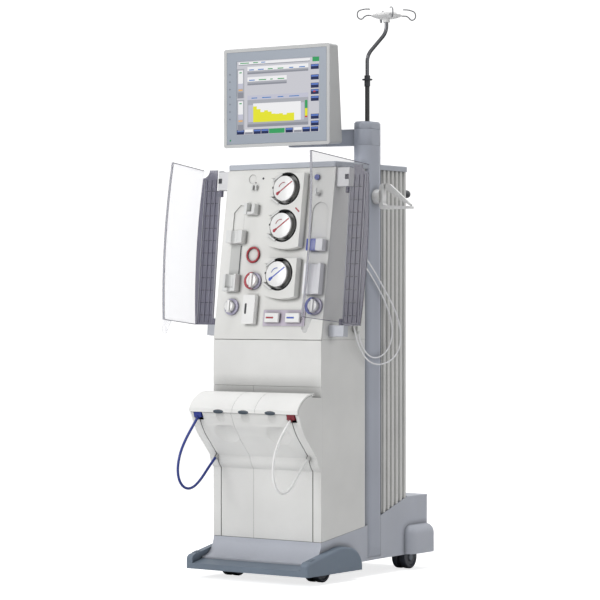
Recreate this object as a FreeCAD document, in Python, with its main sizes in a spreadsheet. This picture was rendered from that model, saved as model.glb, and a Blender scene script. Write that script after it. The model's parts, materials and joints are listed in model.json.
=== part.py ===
import FreeCAD, Part
import Sketcher
import math
import os
import re
from FreeCAD import Placement, Rotation, Vector

# Dialysis machine on four casters. Millimetres, +Z up, the user stands on the -Y side.
# The origin is on the floor, on the cabinet's middle plane, midway between the front and the
# rear caster axes.

os.makedirs("parts", exist_ok=True)
doc = FreeCAD.newDocument("dialysis_machine")
sheet = doc.addObject("Spreadsheet::Sheet", "sizes")
pieces = {}


# Named sizes in millimetres and degrees; the sheet takes them all and every piece reads the sheet

SIZES = {
    "cabinet_width": 418.5,  # cabinet across its side panels
    "front_reach": 281,  # origin to the front of the cabinet
    "rear_reach": 201,  # origin to the rear cover's outer face
    "panel_wall": 4,  # cabinet panels
    "front_wall": 6,  # front panels and module face
    "fit_gap": 0.3,  # gap between pieces that must not touch
    "running_gap": 0.05,  # radial clearance of a shaft in its bore
    "seam_gap": 0.8,  # seam between neighbouring panels

    "base_top": 127,  # top of the base at the front
    "base_low": 47,  # lower edge of the base
    "base_wall": 4,  # walls of the base shell
    "deck_under": 112,  # underside of the base deck
    "skirt_front": 341.5,  # origin to the foot of the flared skirt
    "side_low": 160,  # base top where it meets the column
    "block_top": 240,  # top of the rear shelf
    "block_back": 317,  # origin to the rear of the shelf
    "lid_thick": 6,  # lid on the rear shelf
    "fender_out": 239,  # middle plane to the outside of a rear fender
    "fender_back": 334,  # origin to the rear of a fender
    "fender_front": 182,  # origin to the front of a fender
    "fender_top": 147,  # top of a fender
    "fender_round": 30,  # rounding of a fender

    "bumper_width": 474,  # bumper across its arms
    "bumper_front": 389,  # origin to the bumper's front
    "bumper_rear": 97.5,  # origin to the rear end of a bumper arm
    "bumper_low": 31,  # underside of the bumper
    "bumper_nose": 72,  # height of a bumper nose
    "bumper_peak": 110,  # highest point of a bumper arm
    "bumper_peak_back": 186,  # origin to the highest point of an arm
    "bar_top": 62,  # top of the bumper's front bar at the skirt
    "bar_lip": 50,  # top of the front bar at its front
    "bumper_round": 9,  # rounding of the bumper's outer edges

    "caster_side": 163,  # middle plane to a caster axis
    "caster_way": 244.5,  # origin to the front and rear caster axes
    "wheel_radius": 37.5,  # caster wheel
    "wheel_wide": 20,  # one wheel of a twin caster
    "wheel_space": 12,  # gap between twin wheels
    "caster_trail": 8,  # wheel axle behind the swivel axis
    "caster_stem": 6,  # radius of the swivel stem
    "axle_radius": 4,  # wheel axle
    "well_radius": 54.5,  # room for the turning caster
    "well_top": 82,  # height of that room

    "seam_side": -50,  # seam between the left and right lower front panels
    "hood_seam": 605,  # seam above the hood
    "hood_reach": 125,  # hood lip in front of the cabinet
    "hood_hinge": 40,  # flap hinge in front of the cabinet
    "flap_bend": 97.25,  # radius of the flaps' crown
    "flap_top": 587,  # crown of the flaps
    "flap_wall": 5,  # flap thickness
    "lip_low": 525,  # lower edge of the flap lip
    "flap_seam_left": -40,  # seam between left and middle flap
    "flap_seam_right": 48,  # seam between middle and right flap
    "catch_wide": 42,  # finger catch
    "catch_tall": 14,  # finger catch height
    "barrel_radius": 3.5,  # flap hinge barrel
    "hinge_pin": 1.5,  # radius of the flap hinge pin
    "strip_wide": 31,  # side strip of the front panels
    "groove_wide": 3,  # groove beside a side strip
    "groove_deep": 4,  # depth of that groove
    "hose_side": 180,  # middle plane to a hose connector
    "bowl_radius": 90,  # hand bowls low in the hood
    "bowl_top": 484,  # flat top of the hand bowls
    "scoop_radius": 30,  # finger scoop behind a catch
    "ear_drop": 46,  # latch ear below the lower edge of its door
    "hinge_step": 18,  # lower hinge blocks beyond the door hinge

    "module_bottom": 751,  # lower edge of the treatment module
    "module_top": 1288,  # upper edge of the module walls
    "cover_top": 1305,  # top of the grey cover
    "cover_over": 1.5,  # cover beyond the walls
    "face_tilt": 8.44,  # lean of the module face, degrees
    "face_length": 542,  # module face along its slope
    "recess_deep": 3,  # recesses in the module face

    "pump_side": 41,  # middle plane to the pump axes
    "pump_up_high": 472,  # upper pump axis along the face
    "pump_up_middle": 354.5,  # second pump axis along the face
    "pump_up_low": 201,  # third pump axis along the face
    "pump_left": -16,  # left edge of the pump housings
    "pump_right": 111,  # right edge of the pump housings
    "pump_high": 28,  # pump housings above the face
    "upper_housing_low": 288,  # lower edge of the double housing
    "upper_housing_top": 522,  # upper edge of the double housing
    "lower_housing_low": 131,  # lower edge of the single housing
    "lower_housing_top": 252,  # upper edge of the single housing
    "housing_belly": 190,  # radius of the housings' lower edge
    "well_shift": 6,  # pump well beside the pump axis
    "pump_well": 52,  # radius of a pump well
    "well_floor": 3,  # floor left under a pump well
    "race_wall": 5,  # thickness of a pump race
    "rotor_radius": 39.5,  # pump rotor
    "rotor_disc": 5,  # thickness of the rotor's cover disc
    "rotor_proud": 5,  # rotor above its housing
    "roller_radius": 8,  # pump roller
    "roller_arm": 30,  # pump axis to a roller
    "shaft_radius": 5,  # pump shaft

    "hinge_side": 247.6,  # middle plane to a door hinge
    "hinge_back": 47.4,  # door hinge behind the module face, at its foot
    "door_tilt": 5.3,  # lean of the door hinges, degrees
    "door_depth": 74,  # door hinge to the outer face of the pane
    "door_wall": 3,  # door walls
    "door_low": 44,  # lower edge of the doors along the hinge
    "door_high": 543,  # upper edge of the doors along the hinge
    "door_bow": 12,  # outward bow of the panes
    "door_split": -58.5,  # meeting line of the closed doors
    "door_gap": 2,  # gap between the closed doors
    "door_lip": 7,  # lip at a pane's free edge
    "door_corner": 26,  # rounding of a door's side wall
    "left_open": 84,  # left door angle as it stands, degrees
    "right_open": 90,  # right door angle as it stands, degrees
    "knuckle_radius": 7,  # door knuckle
    "door_pin": 3,  # radius of a door hinge pin

    "column_side": 183,  # middle plane to the column
    "column_way": 9.5,  # origin to the column
    "column_wide": 64,  # column across
    "column_long": 100,  # column front to rear
    "column_wall": 5,  # wall of the hollow column
    "column_foot": 62,  # lower end of the column
    "column_top": 1364,  # shoulder under the monitor arm
    "ring_top": 1416,  # top of the monitor arm's ring
    "cap_top": 1439,  # top of the column cap
    "neck_radius": 21,  # round neck inside the arm's ring
    "column_front": 41.5,  # origin to the column's front and the cabinet's split
    "rib_start": 58.5,  # origin to the front of the right ribbed panel
    "rib_pitch": 23.7,  # distance between ribs
    "rib_wide": 14,  # width of a rib
    "rib_high": 6,  # height of a rib

    "pole_radius": 6,  # drip pole
    "tube_radius": 7.5,  # outer tube of the pole
    "tube_foot": 1180,  # lower end of the outer tube
    "tube_top": 1552,  # upper end of the outer tube
    "pole_foot": 1236,  # lower end of the pole
    "collar_top": 1587,  # top of the clamp collar
    "collar_radius": 9.5,  # clamp collar
    "flange_radius": 16.5,  # collar's flange
    "bend_start": 1632,  # start of the pole's bend
    "pole_bend": 55,  # radius of the pole's bends
    "pole_slope": 40,  # turn of the pole's bends, degrees
    "pole_slant": 55,  # straight between the bends
    "pole_turn": 36,  # direction of the pole's offset, degrees
    "hub_low": 1764,  # underside of the hook hub
    "hub_radius": 48,  # hook hub
    "hook_wire": 2,  # radius of the hook wire

    "monitor_side": -43,  # middle plane to the screen's centre
    "monitor_way": -172.5,  # origin to the screen's front
    "monitor_up": 1519.6,  # height of the screen's centre
    "monitor_turn": 2.8,  # monitor turned about the vertical, degrees
    "monitor_wide": 402,  # monitor across
    "monitor_tall": 317,  # monitor height
    "monitor_head": 48,  # monitor depth at its top
    "monitor_foot": 74,  # monitor depth at its bottom
    "monitor_round": 8,  # rounding of the monitor
    "bezel_edge": 11,  # rim around the bezel
    "bezel_thick": 4,  # bezel plate
    "screen_wide": 313,  # screen across
    "screen_tall": 235,  # screen height
    "screen_shift": 5.5,  # screen centre beside the bezel centre
    "neck_reach": 110,  # screen front to the neck axis
    "neck_post": 14,  # radius of the monitor neck
    "tilt_pin": 4,  # radius of the tilt pin
    "ear_space": 34,  # between the monitor's ears
    "ear_thick": 8,  # one of the monitor's ears
    "ear_radius": 16,  # rounding of the ears
    "arm_thick": 36,  # thickness of the monitor arm

    "holder_up": 1201,  # height of the dialyser holder's axis
    "stub_radius": 23,  # stub of the dialyser holder
    "stub_end": 236,  # middle plane to the end of the stub
    "spigot_radius": 9,  # spigot of the holder in the column
    "spigot_long": 18,  # spigot in the column
    "loop_end": 352,  # middle plane to the tip of the holder
    "loop_low": 1160,  # underside of the holder's loop
    "loop_high": 1242,  # top of the holder's loop
    "loop_bar": 13,  # width of the loop's bars
    "loop_thick": 22,  # loop front to rear

    "handle_radius": 13,  # push handle tube
    "handle_side": 166,  # middle plane to a leg of the push handle
    "handle_back": 88,  # push handle beyond the rear cover
    "handle_up": 1220,  # height of the push handle
    "handle_bend": 20,  # bend of the push handle
    "inlet_radius": 8,  # water inlet stub
    "drain_radius": 6.5,  # drain stub
    "stub_long": 26,  # length of the rear stubs

    "blue_hose_radius": 4.25,  # blue hose
    "white_hose_radius": 3.75,  # white hose
    "line_radius": 2.4,  # thin lines on the right side

    "slot_high": 20,  # card slot unit above the face
    "clip_high": 26,  # line clips above the face
    "pad_travel": 3,  # travel of a line pad
    "button_radius": 9,  # round button
    "clamp_radius": 26,  # disc under a line clamp
}
for row, (alias, number) in enumerate(SIZES.items(), 1):
    sheet.set(f"A{row}", alias.replace("_", " "))
    sheet.set(f"B{row}", str(number))
    sheet.setAlias(f"B{row}", alias)
doc.recompute()


def tie(formula):
    """Write the sizes named in a formula as cells of the size sheet."""
    return re.sub(r"[a-z_]+", lambda m: f"sizes.{m[0]}" if m[0] in SIZES else m[0], formula)


def value(formula):
    return float(sheet.evalExpression(tie(formula)))


def bind(item, **formulas):
    """Bind properties to formulas; a double underscore stands for a dot."""
    for prop, formula in formulas.items():
        item.setExpression(prop.replace("__", "."), tie(formula))
    return item


def place(item, across, along, up):
    return bind(item, Placement__Base__x=across, Placement__Base__y=along, Placement__Base__z=up)


# Solids with sizes bound to the sheet

def box(name, low, spans):
    item = doc.addObject("Part::Box", name)
    bind(item, Length=spans[0], Width=spans[1], Height=spans[2])
    return place(item, *low)


TURNS = {"z": Rotation(), "x": Rotation(Vector(0, 1, 0), 90), "y": Rotation(Vector(1, 0, 0), -90)}


def cylinder(name, foot, radius, height, axis="z"):
    item = doc.addObject("Part::Cylinder", name)
    item.Placement = Placement(Vector(), TURNS[axis])
    bind(item, Radius=radius, Height=height)
    return place(item, *foot)


def sphere(name, centre, radius):
    return place(bind(doc.addObject("Part::Sphere", name), Radius=radius), *centre)


def fuse(name, items):
    item = doc.addObject("Part::MultiFuse", name)
    item.Shapes = items
    item.Refine = True
    return item


def cut(name, base, tools):
    item = doc.addObject("Part::Cut", name)
    item.Base = base
    item.Tool = tools[0] if len(tools) == 1 else fuse(name + "_tools", tools)
    return item


def group(name, items):
    item = doc.addObject("Part::Compound", name)
    item.Links = items
    return item


def stadium(name, grow, low, high):
    """Upright prism with round ends, on the column's axis; grow widens it all round."""
    radius = f"column_wide/2 + {grow}"
    flat = "(column_long - column_wide)"
    front = cylinder(name + "_front", ("column_side", f"column_way - {flat}/2", low),
                     radius, f"{high} - ({low})")
    rear = cylinder(name + "_rear", ("column_side", f"column_way + {flat}/2", low),
                    radius, f"{high} - ({low})")
    middle = box(name + "_middle", (f"column_side - ({radius})", f"column_way - {flat}/2", low),
                 (f"2*({radius})", flat, f"{high} - ({low})"))
    return fuse(name, [front, rear, middle])


# Sketched bodies

def new_body(name):
    return doc.addObject("PartDesign::Body", name)


def arc_between(start, end, radius, side):
    """Arc from start to end that bulges to the left or the right of the way between them."""
    chord = end - start
    normal = Vector(-chord.y, chord.x, 0).normalize()
    if side == "left":
        normal = -normal
    reach = math.sqrt(max(radius ** 2 - (chord.Length / 2) ** 2, 0))
    centre = (start + end) / 2 + normal * reach
    first, last = (end, start) if side == "left" else (start, end)
    angles = [math.atan2(spot.y - centre.y, spot.x - centre.x) for spot in (first, last)]
    return Part.ArcOfCircle(Part.Circle(centre, Vector(0, 0, 1), radius), *angles)


def outline(body, name, plane, points, level="0"):
    """Closed outline in one of the body's planes.

    A point is (x, y), or (x, y, radius, side) where the side that ends there is an arc.
    """
    drawing = body.newObject("Sketcher::SketchObject", name)
    base_plane = [item for item in body.Origin.OriginFeatures if item.Role == plane][0]
    drawing.AttachmentSupport = [(base_plane, "")]
    drawing.MapMode = "FlatFace"
    bind(drawing, AttachmentOffset__Base__z=level)
    spots = [Vector(value(point[0]), value(point[1]), 0) for point in points]
    ends = []
    for index, point in enumerate(points):
        start, end = spots[index - 1], spots[index]
        if len(point) == 2:
            drawing.addGeometry(Part.LineSegment(start, end), False)
            ends.append((1, 2))
        else:
            drawing.addGeometry(arc_between(start, end, value(point[2]), point[3]), False)
            ends.append((2, 1) if point[3] == "left" else (1, 2))

    def limit(kind, *where, formula):
        number = drawing.addConstraint(Sketcher.Constraint(kind, *where, value(formula)))
        drawing.setExpression(f"Constraints[{number}]", tie(formula))

    for index, point in enumerate(points):
        after = (index + 1) % len(points)
        drawing.addConstraint(
            Sketcher.Constraint("Coincident", index, ends[index][1], after, ends[after][0]))
        limit("DistanceX", -1, 1, index, ends[index][1], formula=point[0])
        limit("DistanceY", -1, 1, index, ends[index][1], formula=point[1])
        if len(point) > 2:
            limit("Radius", index, formula=point[2])
    return drawing


def rectangle(low, high):
    return [(low[0], low[1]), (high[0], low[1]), (high[0], high[1]), (low[0], high[1])]


def pad(body, drawing, length, middle=False, turned=False):
    feature = body.newObject("PartDesign::Pad", drawing.Name + "_pad")
    feature.Profile = drawing
    feature.Midplane = middle
    feature.Reversed = turned
    return bind(feature, Length=length)


def pocket(body, drawing, length, middle=False, turned=False):
    """Cut the outline out of the body and see that material went."""
    doc.recompute()
    before = body.Shape.Volume
    feature = body.newObject("PartDesign::Pocket", drawing.Name + "_pocket")
    feature.Profile = drawing
    feature.Midplane = middle
    feature.Reversed = turned
    bind(feature, Length=length)
    doc.recompute()
    if body.Shape.Volume >= before:
        raise ValueError(drawing.Name + " cuts nothing")
    return feature


def round_edges(body, name, radius, pick):
    """Round the edges of a body that pick says yes to."""
    doc.recompute()
    solid = body.Tip
    chosen = [f"Edge{n}" for n, edge in enumerate(solid.Shape.Edges, 1) if pick(edge)]
    feature = body.newObject("PartDesign::Fillet", name)
    feature.Base = (solid, chosen)
    return bind(feature, Radius=radius)


def runs_along(edge, axis):
    """True where an edge is straight and parallel to one axis."""
    if len(edge.Vertexes) < 2 or not isinstance(edge.Curve, Part.Line):
        return False
    way = edge.Vertexes[1].Point - edge.Vertexes[0].Point
    return abs(abs(getattr(way.normalize(), axis)) - 1) < 1e-6


def node(name, item):
    item.Label = name
    pieces[name] = item
    return item


def on_face(item):
    """Put a piece that is drawn with the face as its XZ plane on the leaning module face."""
    item.Placement = Placement(Vector(), Rotation(Vector(-1, 0, 0), value("face_tilt")))
    bind(item, Placement__Rotation__Angle="face_tilt")
    return place(item, "0", "-front_reach", "module_bottom")


HALF = "cabinet_width/2"


# Base, bumper and casters

def caster_spots():
    for along, way in (("front", -1), ("rear", 1)):
        for across, side in (("left", -1), ("right", 1)):
            yield f"{along}_{across}", f"{side}*caster_side", f"{way}*caster_way"


def caster_wells(name):
    return [cylinder(f"{name}_well_{spot}", (across, along, "0"), "well_radius", "well_top")
            for spot, across, along in caster_spots()]


def make_fender(side):
    """Bulge over a rear caster, rounded on top and at its outer corners."""
    body = new_body(f"fender_{side}")
    sign = -1 if side == "left" else 1
    inner = f"{sign}*(caster_side - 20)"
    plan = outline(body, f"fender_plan_{side}", "XY_Plane",
                   rectangle((inner, "fender_front"), (f"{sign}*fender_out", "fender_back")),
                   "base_low + 7")
    pad(body, plan, "fender_top - base_low - 7")
    outer = value(f"{sign}*fender_out")
    top = value("fender_top")

    def outside(edge):
        middle = edge.CenterOfMass
        upright = runs_along(edge, "z") and abs(middle.x - outer) < 1
        return upright or (abs(middle.z - top) < 1 and abs(middle.x) > abs(value(inner)) + 1)

    round_edges(body, f"fender_round_{side}", "fender_round", outside)
    return body


def make_base():
    body = new_body("base_block")
    flare = "skirt_front - front_reach"
    profile = outline(body, "base_profile", "YZ_Plane", [
        ("-skirt_front", "base_low"),
        ("-skirt_front", f"base_top - ({flare})"),
        ("-front_reach", "base_top", flare, "right"),
        ("-column_front", "side_low"),
        ("rear_reach", "block_top"),
        ("rear_reach", "block_top - lid_thick"),
        ("block_back", "block_top - lid_thick"),
        ("block_back", "base_low + 7"),
    ])
    pad(body, profile, "cabinet_width", middle=True)
    whole = fuse("base_solid", [body, make_fender("left"), make_fender("right")])
    wall = "base_wall"
    inside = f"{HALF} - {wall}"
    rooms = [
        box("room_deck", (f"-({inside})", f"-(front_reach - {wall})", "0"),
            (f"2*({inside})", f"front_reach + block_back - 2*{wall}", "deck_under")),
        box("room_toe", (f"-({inside})", f"-(skirt_front - {wall})", "0"),
            (f"2*({inside})", "skirt_front", f"base_top - ({flare}) - {wall}")),
        box("room_bin", (f"-({inside})", f"rear_reach + {wall}", "base_top"),
            (f"2*({inside})", f"block_back - rear_reach - 2*{wall}", "block_top")),
        box("room_cabinet", (f"-({inside})", f"-front_reach + {wall}", "base_top"),
            (f"2*({inside})", f"front_reach + rear_reach - {wall}", "block_top")),
        stadium("column_pocket", "fit_gap", "column_foot - 1", "block_top"),
    ]
    stems = [cylinder(f"stem_bore_{spot}", (across, along, "deck_under - 1"),
                      "caster_stem + running_gap", "base_top - deck_under - 1")
             for spot, across, along in caster_spots()]
    node("base_shell", cut("base_cut", whole, rooms + caster_wells("base") + stems))
    lid = new_body("lid")
    plan = outline(lid, "lid_plan", "XY_Plane",
                   rectangle((f"-({HALF})", "rear_reach"), (HALF, "block_back + 2")),
                   "block_top - lid_thick")
    pad(lid, plan, "lid_thick")
    top = value("block_top")
    round_edges(lid, "lid_round", "lid_thick/2",
                lambda edge: abs(edge.CenterOfMass.z - top) < 0.1
                and edge.CenterOfMass.y > value("rear_reach") + 1)
    node("rear_shelf_lid", lid)


def make_bumper():
    """U-shaped bumper: a low bar across the front and an arm with a humped top on each side."""
    body = new_body("bumper")
    side = outline(body, "bumper_side", "YZ_Plane", [
        ("-bumper_front", "bumper_low"),
        ("-bumper_front", "bumper_nose - 8"),
        ("-bumper_front + 14", "bumper_nose + 4", "18", "left"),
        ("-bumper_peak_back - 30", "bumper_peak - 2"),
        ("-bumper_peak_back + 26", "bumper_peak - 5", "140", "left"),
        ("-bumper_rear", "bumper_nose - 8", "72", "left"),
        ("-bumper_rear", "bumper_low"),
    ])
    pad(body, side, "bumper_width", middle=True)
    outer = value("bumper_width/2")

    def outside(edge):
        middle = edge.CenterOfMass
        top_edge = abs(abs(middle.x) - outer) < 0.1 and middle.z > value("bumper_low") + 1
        return top_edge and not (middle.y > -value("bumper_rear") - 1)

    round_edges(body, "bumper_round_outer", "bumper_round", outside)
    inner = f"({HALF} + fit_gap)"
    throat = outline(body, "bumper_throat", "XY_Plane", rectangle(
        (f"-{inner}", "-skirt_front - fit_gap"), (inner, "-bumper_rear + 10")))
    pocket(body, throat, "bumper_peak + 20", turned=True)
    over_bar = outline(body, "bumper_over_bar", "YZ_Plane", [
        ("-bumper_front - 5", "bar_lip - 2"),
        ("-skirt_front + 5", "bar_top"),
        ("-skirt_front + 5", "bumper_peak + 20"),
        ("-bumper_front - 5", "bumper_peak + 20"),
    ])
    pocket(body, over_bar, f"2*{inner}", middle=True)
    ridges = []
    for sign in (-1, 1):
        for step in range(3):
            along = f"-bumper_front + 26 + {9 * step}"
            ridge = cylinder(f"ridge_{step}_{'left' if sign < 0 else 'right'}",
                             (f"{sign}*(bumper_width/2 - 15) - 8", along,
                              f"bumper_nose + {5.5 + 1.9 * step}"), "3", "16", axis="x")
            ridges.append(ridge)
    whole = fuse("bumper_whole", [body] + ridges)
    node("front_bumper", cut("bumper_cut", whole, caster_wells("bumper")))


def make_casters():
    for spot, across, along in caster_spots():
        wide = "2*wheel_wide + wheel_space"
        axle_y = f"{along} + caster_trail"
        stem = cylinder(f"stem_{spot}", (across, along, "deck_under - 30"), "caster_stem",
                        "base_top - deck_under + 27")
        plate = cylinder(f"plate_{spot}", (across, along, "deck_under - 9"), "22", "5")
        neck = cylinder(f"neck_{spot}", (across, along, "wheel_radius + 6"), "wheel_space/2 - 1.5",
                        "deck_under - wheel_radius - 12")
        web = cylinder(f"web_{spot}", (f"{across} - wheel_space/2 + 1", axle_y, "wheel_radius"),
                       "wheel_radius - 5", "wheel_space - 2", axis="x")
        axle = cylinder(f"axle_{spot}", (f"{across} - ({wide})/2 + 1", axle_y, "wheel_radius"),
                        "axle_radius", f"{wide} - 2", axis="x")
        node(f"caster_fork_{spot}", fuse(f"fork_{spot}", [stem, plate, neck, web, axle]))
        wheels = [make_wheel(spot, across, axle_y, sign) for sign in (-1, 1)]
        node(f"caster_wheels_{spot}", group(f"wheels_{spot}", wheels))


def make_wheel(spot, across, along, sign):
    """One wheel of a twin caster: crowned tyre, recessed hub and axle bore, turned about X."""
    side = "inner" if sign < 0 else "outer"
    body = new_body(f"wheel_{spot}_{side}")
    profile = outline(body, f"tyre_{spot}_{side}", "XZ_Plane", [
        ("0", "axle_radius + running_gap"),
        ("wheel_wide", "axle_radius + running_gap"),
        ("wheel_wide", "wheel_radius*0.3"),
        ("wheel_wide - 3", "wheel_radius*0.4"),
        ("wheel_wide - 3", "wheel_radius*0.7"),
        ("wheel_wide", "wheel_radius*0.78"),
        ("wheel_wide", "wheel_radius - 4"),
        ("wheel_wide - 4", "wheel_radius", "4.5", "right"),
        ("2", "wheel_radius"),
        ("0", "wheel_radius - 2"),
    ])
    turned = body.newObject("PartDesign::Revolution", f"turned_{spot}_{side}")
    turned.Profile = profile
    turned.ReferenceAxis = (profile, ["H_Axis"])
    turned.Angle = 360
    if sign < 0:
        body.Placement = Placement(Vector(), Rotation(Vector(0, 0, 1), 180))
    return place(body, f"{across} + {sign}*wheel_space/2", along, "wheel_radius")


# Cabinet

def make_side_panels():
    """White side panels below the module; their lower edges follow the base."""
    sides = []
    for side, sign in (("left", -1), ("right", 1)):
        body = new_body(f"side_{side}")
        profile = outline(body, f"side_profile_{side}", "YZ_Plane", [
            ("-front_reach + front_wall", "base_top + fit_gap + "
             "(side_low - base_top)*front_wall/(front_reach - column_front)"),
            ("-column_front - fit_gap", "side_low + fit_gap"),
            ("-column_front - fit_gap", "module_bottom - fit_gap"),
            ("-front_reach + front_wall", "module_bottom - fit_gap"),
        ], f"{sign}*{HALF}")
        pad(body, profile, "panel_wall", turned=sign > 0)
        sides.append(body)
    node("lower_side_panels", group("side_pair", sides))


def crown_height(depth, ahead):
    """Height of the flaps' crown, some way under its skin and ahead of the hinge line."""
    return f"flap_top - flap_bend + sqrt((flap_bend - ({depth}))^2 - ({ahead})^2)"


def hood_outline(shift):
    """Side outline of the lower front: a plain foot that swells forward into the hood."""
    front = f"-front_reach + {shift}"
    return [
        ("-front_reach + front_wall", "base_top + fit_gap + 1"),
        (front, "base_top + fit_gap + 1"),
        (front, "345"),
        (f"{front} - 20", "386", "63", "left"),
        (f"{front} - 80", "452"),
        (f"{front} - 112", "510", "211", "left"),
        (f"{front} - hood_reach + flap_wall + 1.5", "lip_low - 2"),
        (f"{front} - hood_reach + flap_wall + 1.5",
         crown_height("flap_wall + 1", "hood_reach - hood_hinge - flap_wall - 1.5")),
        (f"{front} - hood_hinge - 8", crown_height("flap_wall + 1", "8"),
         "flap_bend - flap_wall - 1", "left"),
        (f"{front} - hood_hinge - 8", "flap_top - 12"),
        (front, "flap_top - 14"),
        (front, "hood_seam"),
        ("-front_reach + front_wall", "hood_seam"),
    ]


FLAPS = (("left", f"-({HALF})", "flap_seam_left", "-94"),
         ("middle", "flap_seam_left", "flap_seam_right", "3"),
         ("right", "flap_seam_right", HALF, "106"))
HINGE_Y = "-front_reach - hood_hinge"
HINGE_Z = "flap_top - barrel_radius"


def hood_block(side):
    """One lower front panel with its compartments, hand recess, strip groove and hose boss."""
    sign = -1 if side == "left" else 1
    body = new_body(f"front_{side}")
    seam = f"seam_side + {sign}*seam_gap/2"
    profile = outline(body, f"front_profile_{side}", "YZ_Plane", hood_outline("0"), seam)
    pad(body, profile, f"{HALF} - {sign}*seam_side - seam_gap/2", turned=sign < 0)
    return body


def make_front_panels():
    blocks = []
    bores = []
    ears = []
    for name, low, high, middle in FLAPS:
        cell = box(f"cell_{name}", (f"{low} + 14", "-front_reach - 96", "486"),
                   (f"{high} - ({low}) - 28", "46", "110"))
        bores.append(cell)
    for sign, side in ((-1, "left"), (1, "right")):
        groove = new_body(f"groove_{side}")
        trace = hood_outline("groove_deep")
        trace[0] = ("-front_reach - 170", "base_top - 5")
        trace[1] = ("-front_reach + groove_deep", "base_top - 5")
        line = outline(groove, f"groove_profile_{side}", "YZ_Plane",
                       trace[:6] + [("-front_reach - 170", "510")],
                       f"{sign}*({HALF} - strip_wide)")
        pad(groove, line, "groove_wide", middle=True)
        bores.append(groove)
        bores.append(box(f"notch_{side}", (f"{sign}*hose_side - 17", "-front_reach - 128", "500"),
                         ("34", "36", "34")))
        ball = sphere(f"bowl_ball_{side}", (f"10 + {sign}*100", "-front_reach - 147", "413"),
                      "bowl_radius")
        above = box(f"above_bowl_{side}", (f"10 + {sign}*100 - 100", "-front_reach - 247", "bowl_top"),
                    ("200", "200", "bowl_radius"))
        bores.append(cut(f"bowl_{side}", ball, [above]))
    for name, low, high, middle in FLAPS:
        bores.append(sphere(f"scoop_{name}", (middle, "-front_reach - 134.6", "500"),
                            "scoop_radius"))
    pin_bore = cylinder("pin_bore", (f"-({HALF}) - 1", HINGE_Y, HINGE_Z), "hinge_pin",
                        "cabinet_width + 2", axis="x")
    stations = [f"-({HALF}) + 6", "flap_seam_left", "flap_seam_right", f"{HALF} - 6"]
    for side, sign in (("left", -1), ("right", 1)):
        mine = stations[:1] if side == "left" else stations[1:]
        for number, station in enumerate(mine):
            ears.append(box(f"ear_{side}_{number}",
                            (f"{station} - 3", f"{HINGE_Y} - barrel_radius", "flap_top - 14.5"),
                            ("6", "barrel_radius*2", "14.5")))
        block = fuse(f"block_{side}", [hood_block(side)] + ears + [make_boss(side, sign)])
        ears = []
        blocks.append(block)
    tool = fuse("front_tools", bores + [pin_bore])
    panels = []
    for block in blocks:
        item = doc.addObject("Part::Cut", block.Name + "_cut")
        item.Base = block
        item.Tool = tool
        panels.append(item)
    pin = cylinder("flap_pin", (f"-({HALF}) + 3", HINGE_Y, HINGE_Z), "hinge_pin",
                   "cabinet_width - 6", axis="x")
    upper = new_body("upper_front")
    plan = outline(upper, "upper_front_plan", "XZ_Plane",
                   rectangle((f"-({HALF})", "hood_seam + seam_gap"),
                             (HALF, "module_bottom - 2")), "front_reach")
    pad(upper, plan, "front_wall", turned=True)
    node("front_panels", group("front_set", panels + [upper, pin]))


def make_boss(side, sign):
    """Boss on the panel that takes the end of a hose, square to the hose."""
    end = HOSE_ENDS[side]
    item = doc.addObject("Part::Cylinder", f"boss_{side}")
    way = (end[1] - end[0]).normalize()
    item.Placement = Placement(end[1], Rotation(Vector(0, 0, 1), way))
    bind(item, Radius="blue_hose_radius + 2.5", Height="22")
    return item


def make_flaps():
    """Three hood flaps: a crowned skin, a lip with a finger catch and a hinge barrel."""
    for number, (name, low, high, middle) in enumerate(FLAPS):
        body = new_body(f"flap_{name}_body")
        start = f"{low} + {'0' if number == 0 else 'seam_gap/2'}"
        end = f"{high} - {'0' if number == 2 else 'seam_gap/2'}"
        front = "-front_reach - hood_reach"
        profile = outline(body, f"flap_profile_{name}", "YZ_Plane", [
            (HINGE_Y, "flap_top"),
            (front, crown_height("0", "hood_reach - hood_hinge"), "flap_bend", "right"),
            (front, "lip_low"),
            (f"{front} + flap_wall", "lip_low"),
            (f"{front} + flap_wall",
             crown_height("flap_wall", "hood_reach - hood_hinge - flap_wall")),
            (HINGE_Y, "flap_top - flap_wall", "flap_bend - flap_wall", "left"),
        ], start)
        pad(body, profile, f"{end} - ({start})")
        barrel = outline(body, f"barrel_{name}", "YZ_Plane", rectangle(
            (f"{HINGE_Y} - 8", "flap_top - 2*barrel_radius"),
            (f"{HINGE_Y} + barrel_radius", "flap_top")), start)
        pad(body, barrel, f"{end} - ({start})")
        pin = cylinder(f"flap_bore_{name}", (f"{start} - 1", HINGE_Y, HINGE_Z),
                       "hinge_pin + running_gap", f"{end} - ({start}) + 2", axis="x")
        cuts = [pin]
        for station, at in enumerate((low, high)):
            inward = "+ 6" if (number == 0 and station == 0) else (
                "- 6" if (number == 2 and station == 1) else "")
            cuts.append(box(f"ear_gap_{name}_{station}",
                            (f"{at} {inward} - 3 - fit_gap",
                             f"{HINGE_Y} - barrel_radius - 4", "flap_top - 20"),
                            ("6 + 2*fit_gap", "2*barrel_radius + 8", "24")))
        catch = doc.addObject("Part::Ellipsoid", f"catch_{name}")
        bind(catch, Radius1="flap_wall/2", Radius2="catch_wide/2", Radius3="catch_tall/2")
        catch.Placement = Placement(Vector(), Rotation(Vector(0, 0, 1), 90))
        place(catch, middle, f"{front}", "lip_low + 2")
        cuts.append(catch)
        node(f"hood_flap_{name}", cut(f"flap_{name}_cut", body, cuts))


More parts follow.
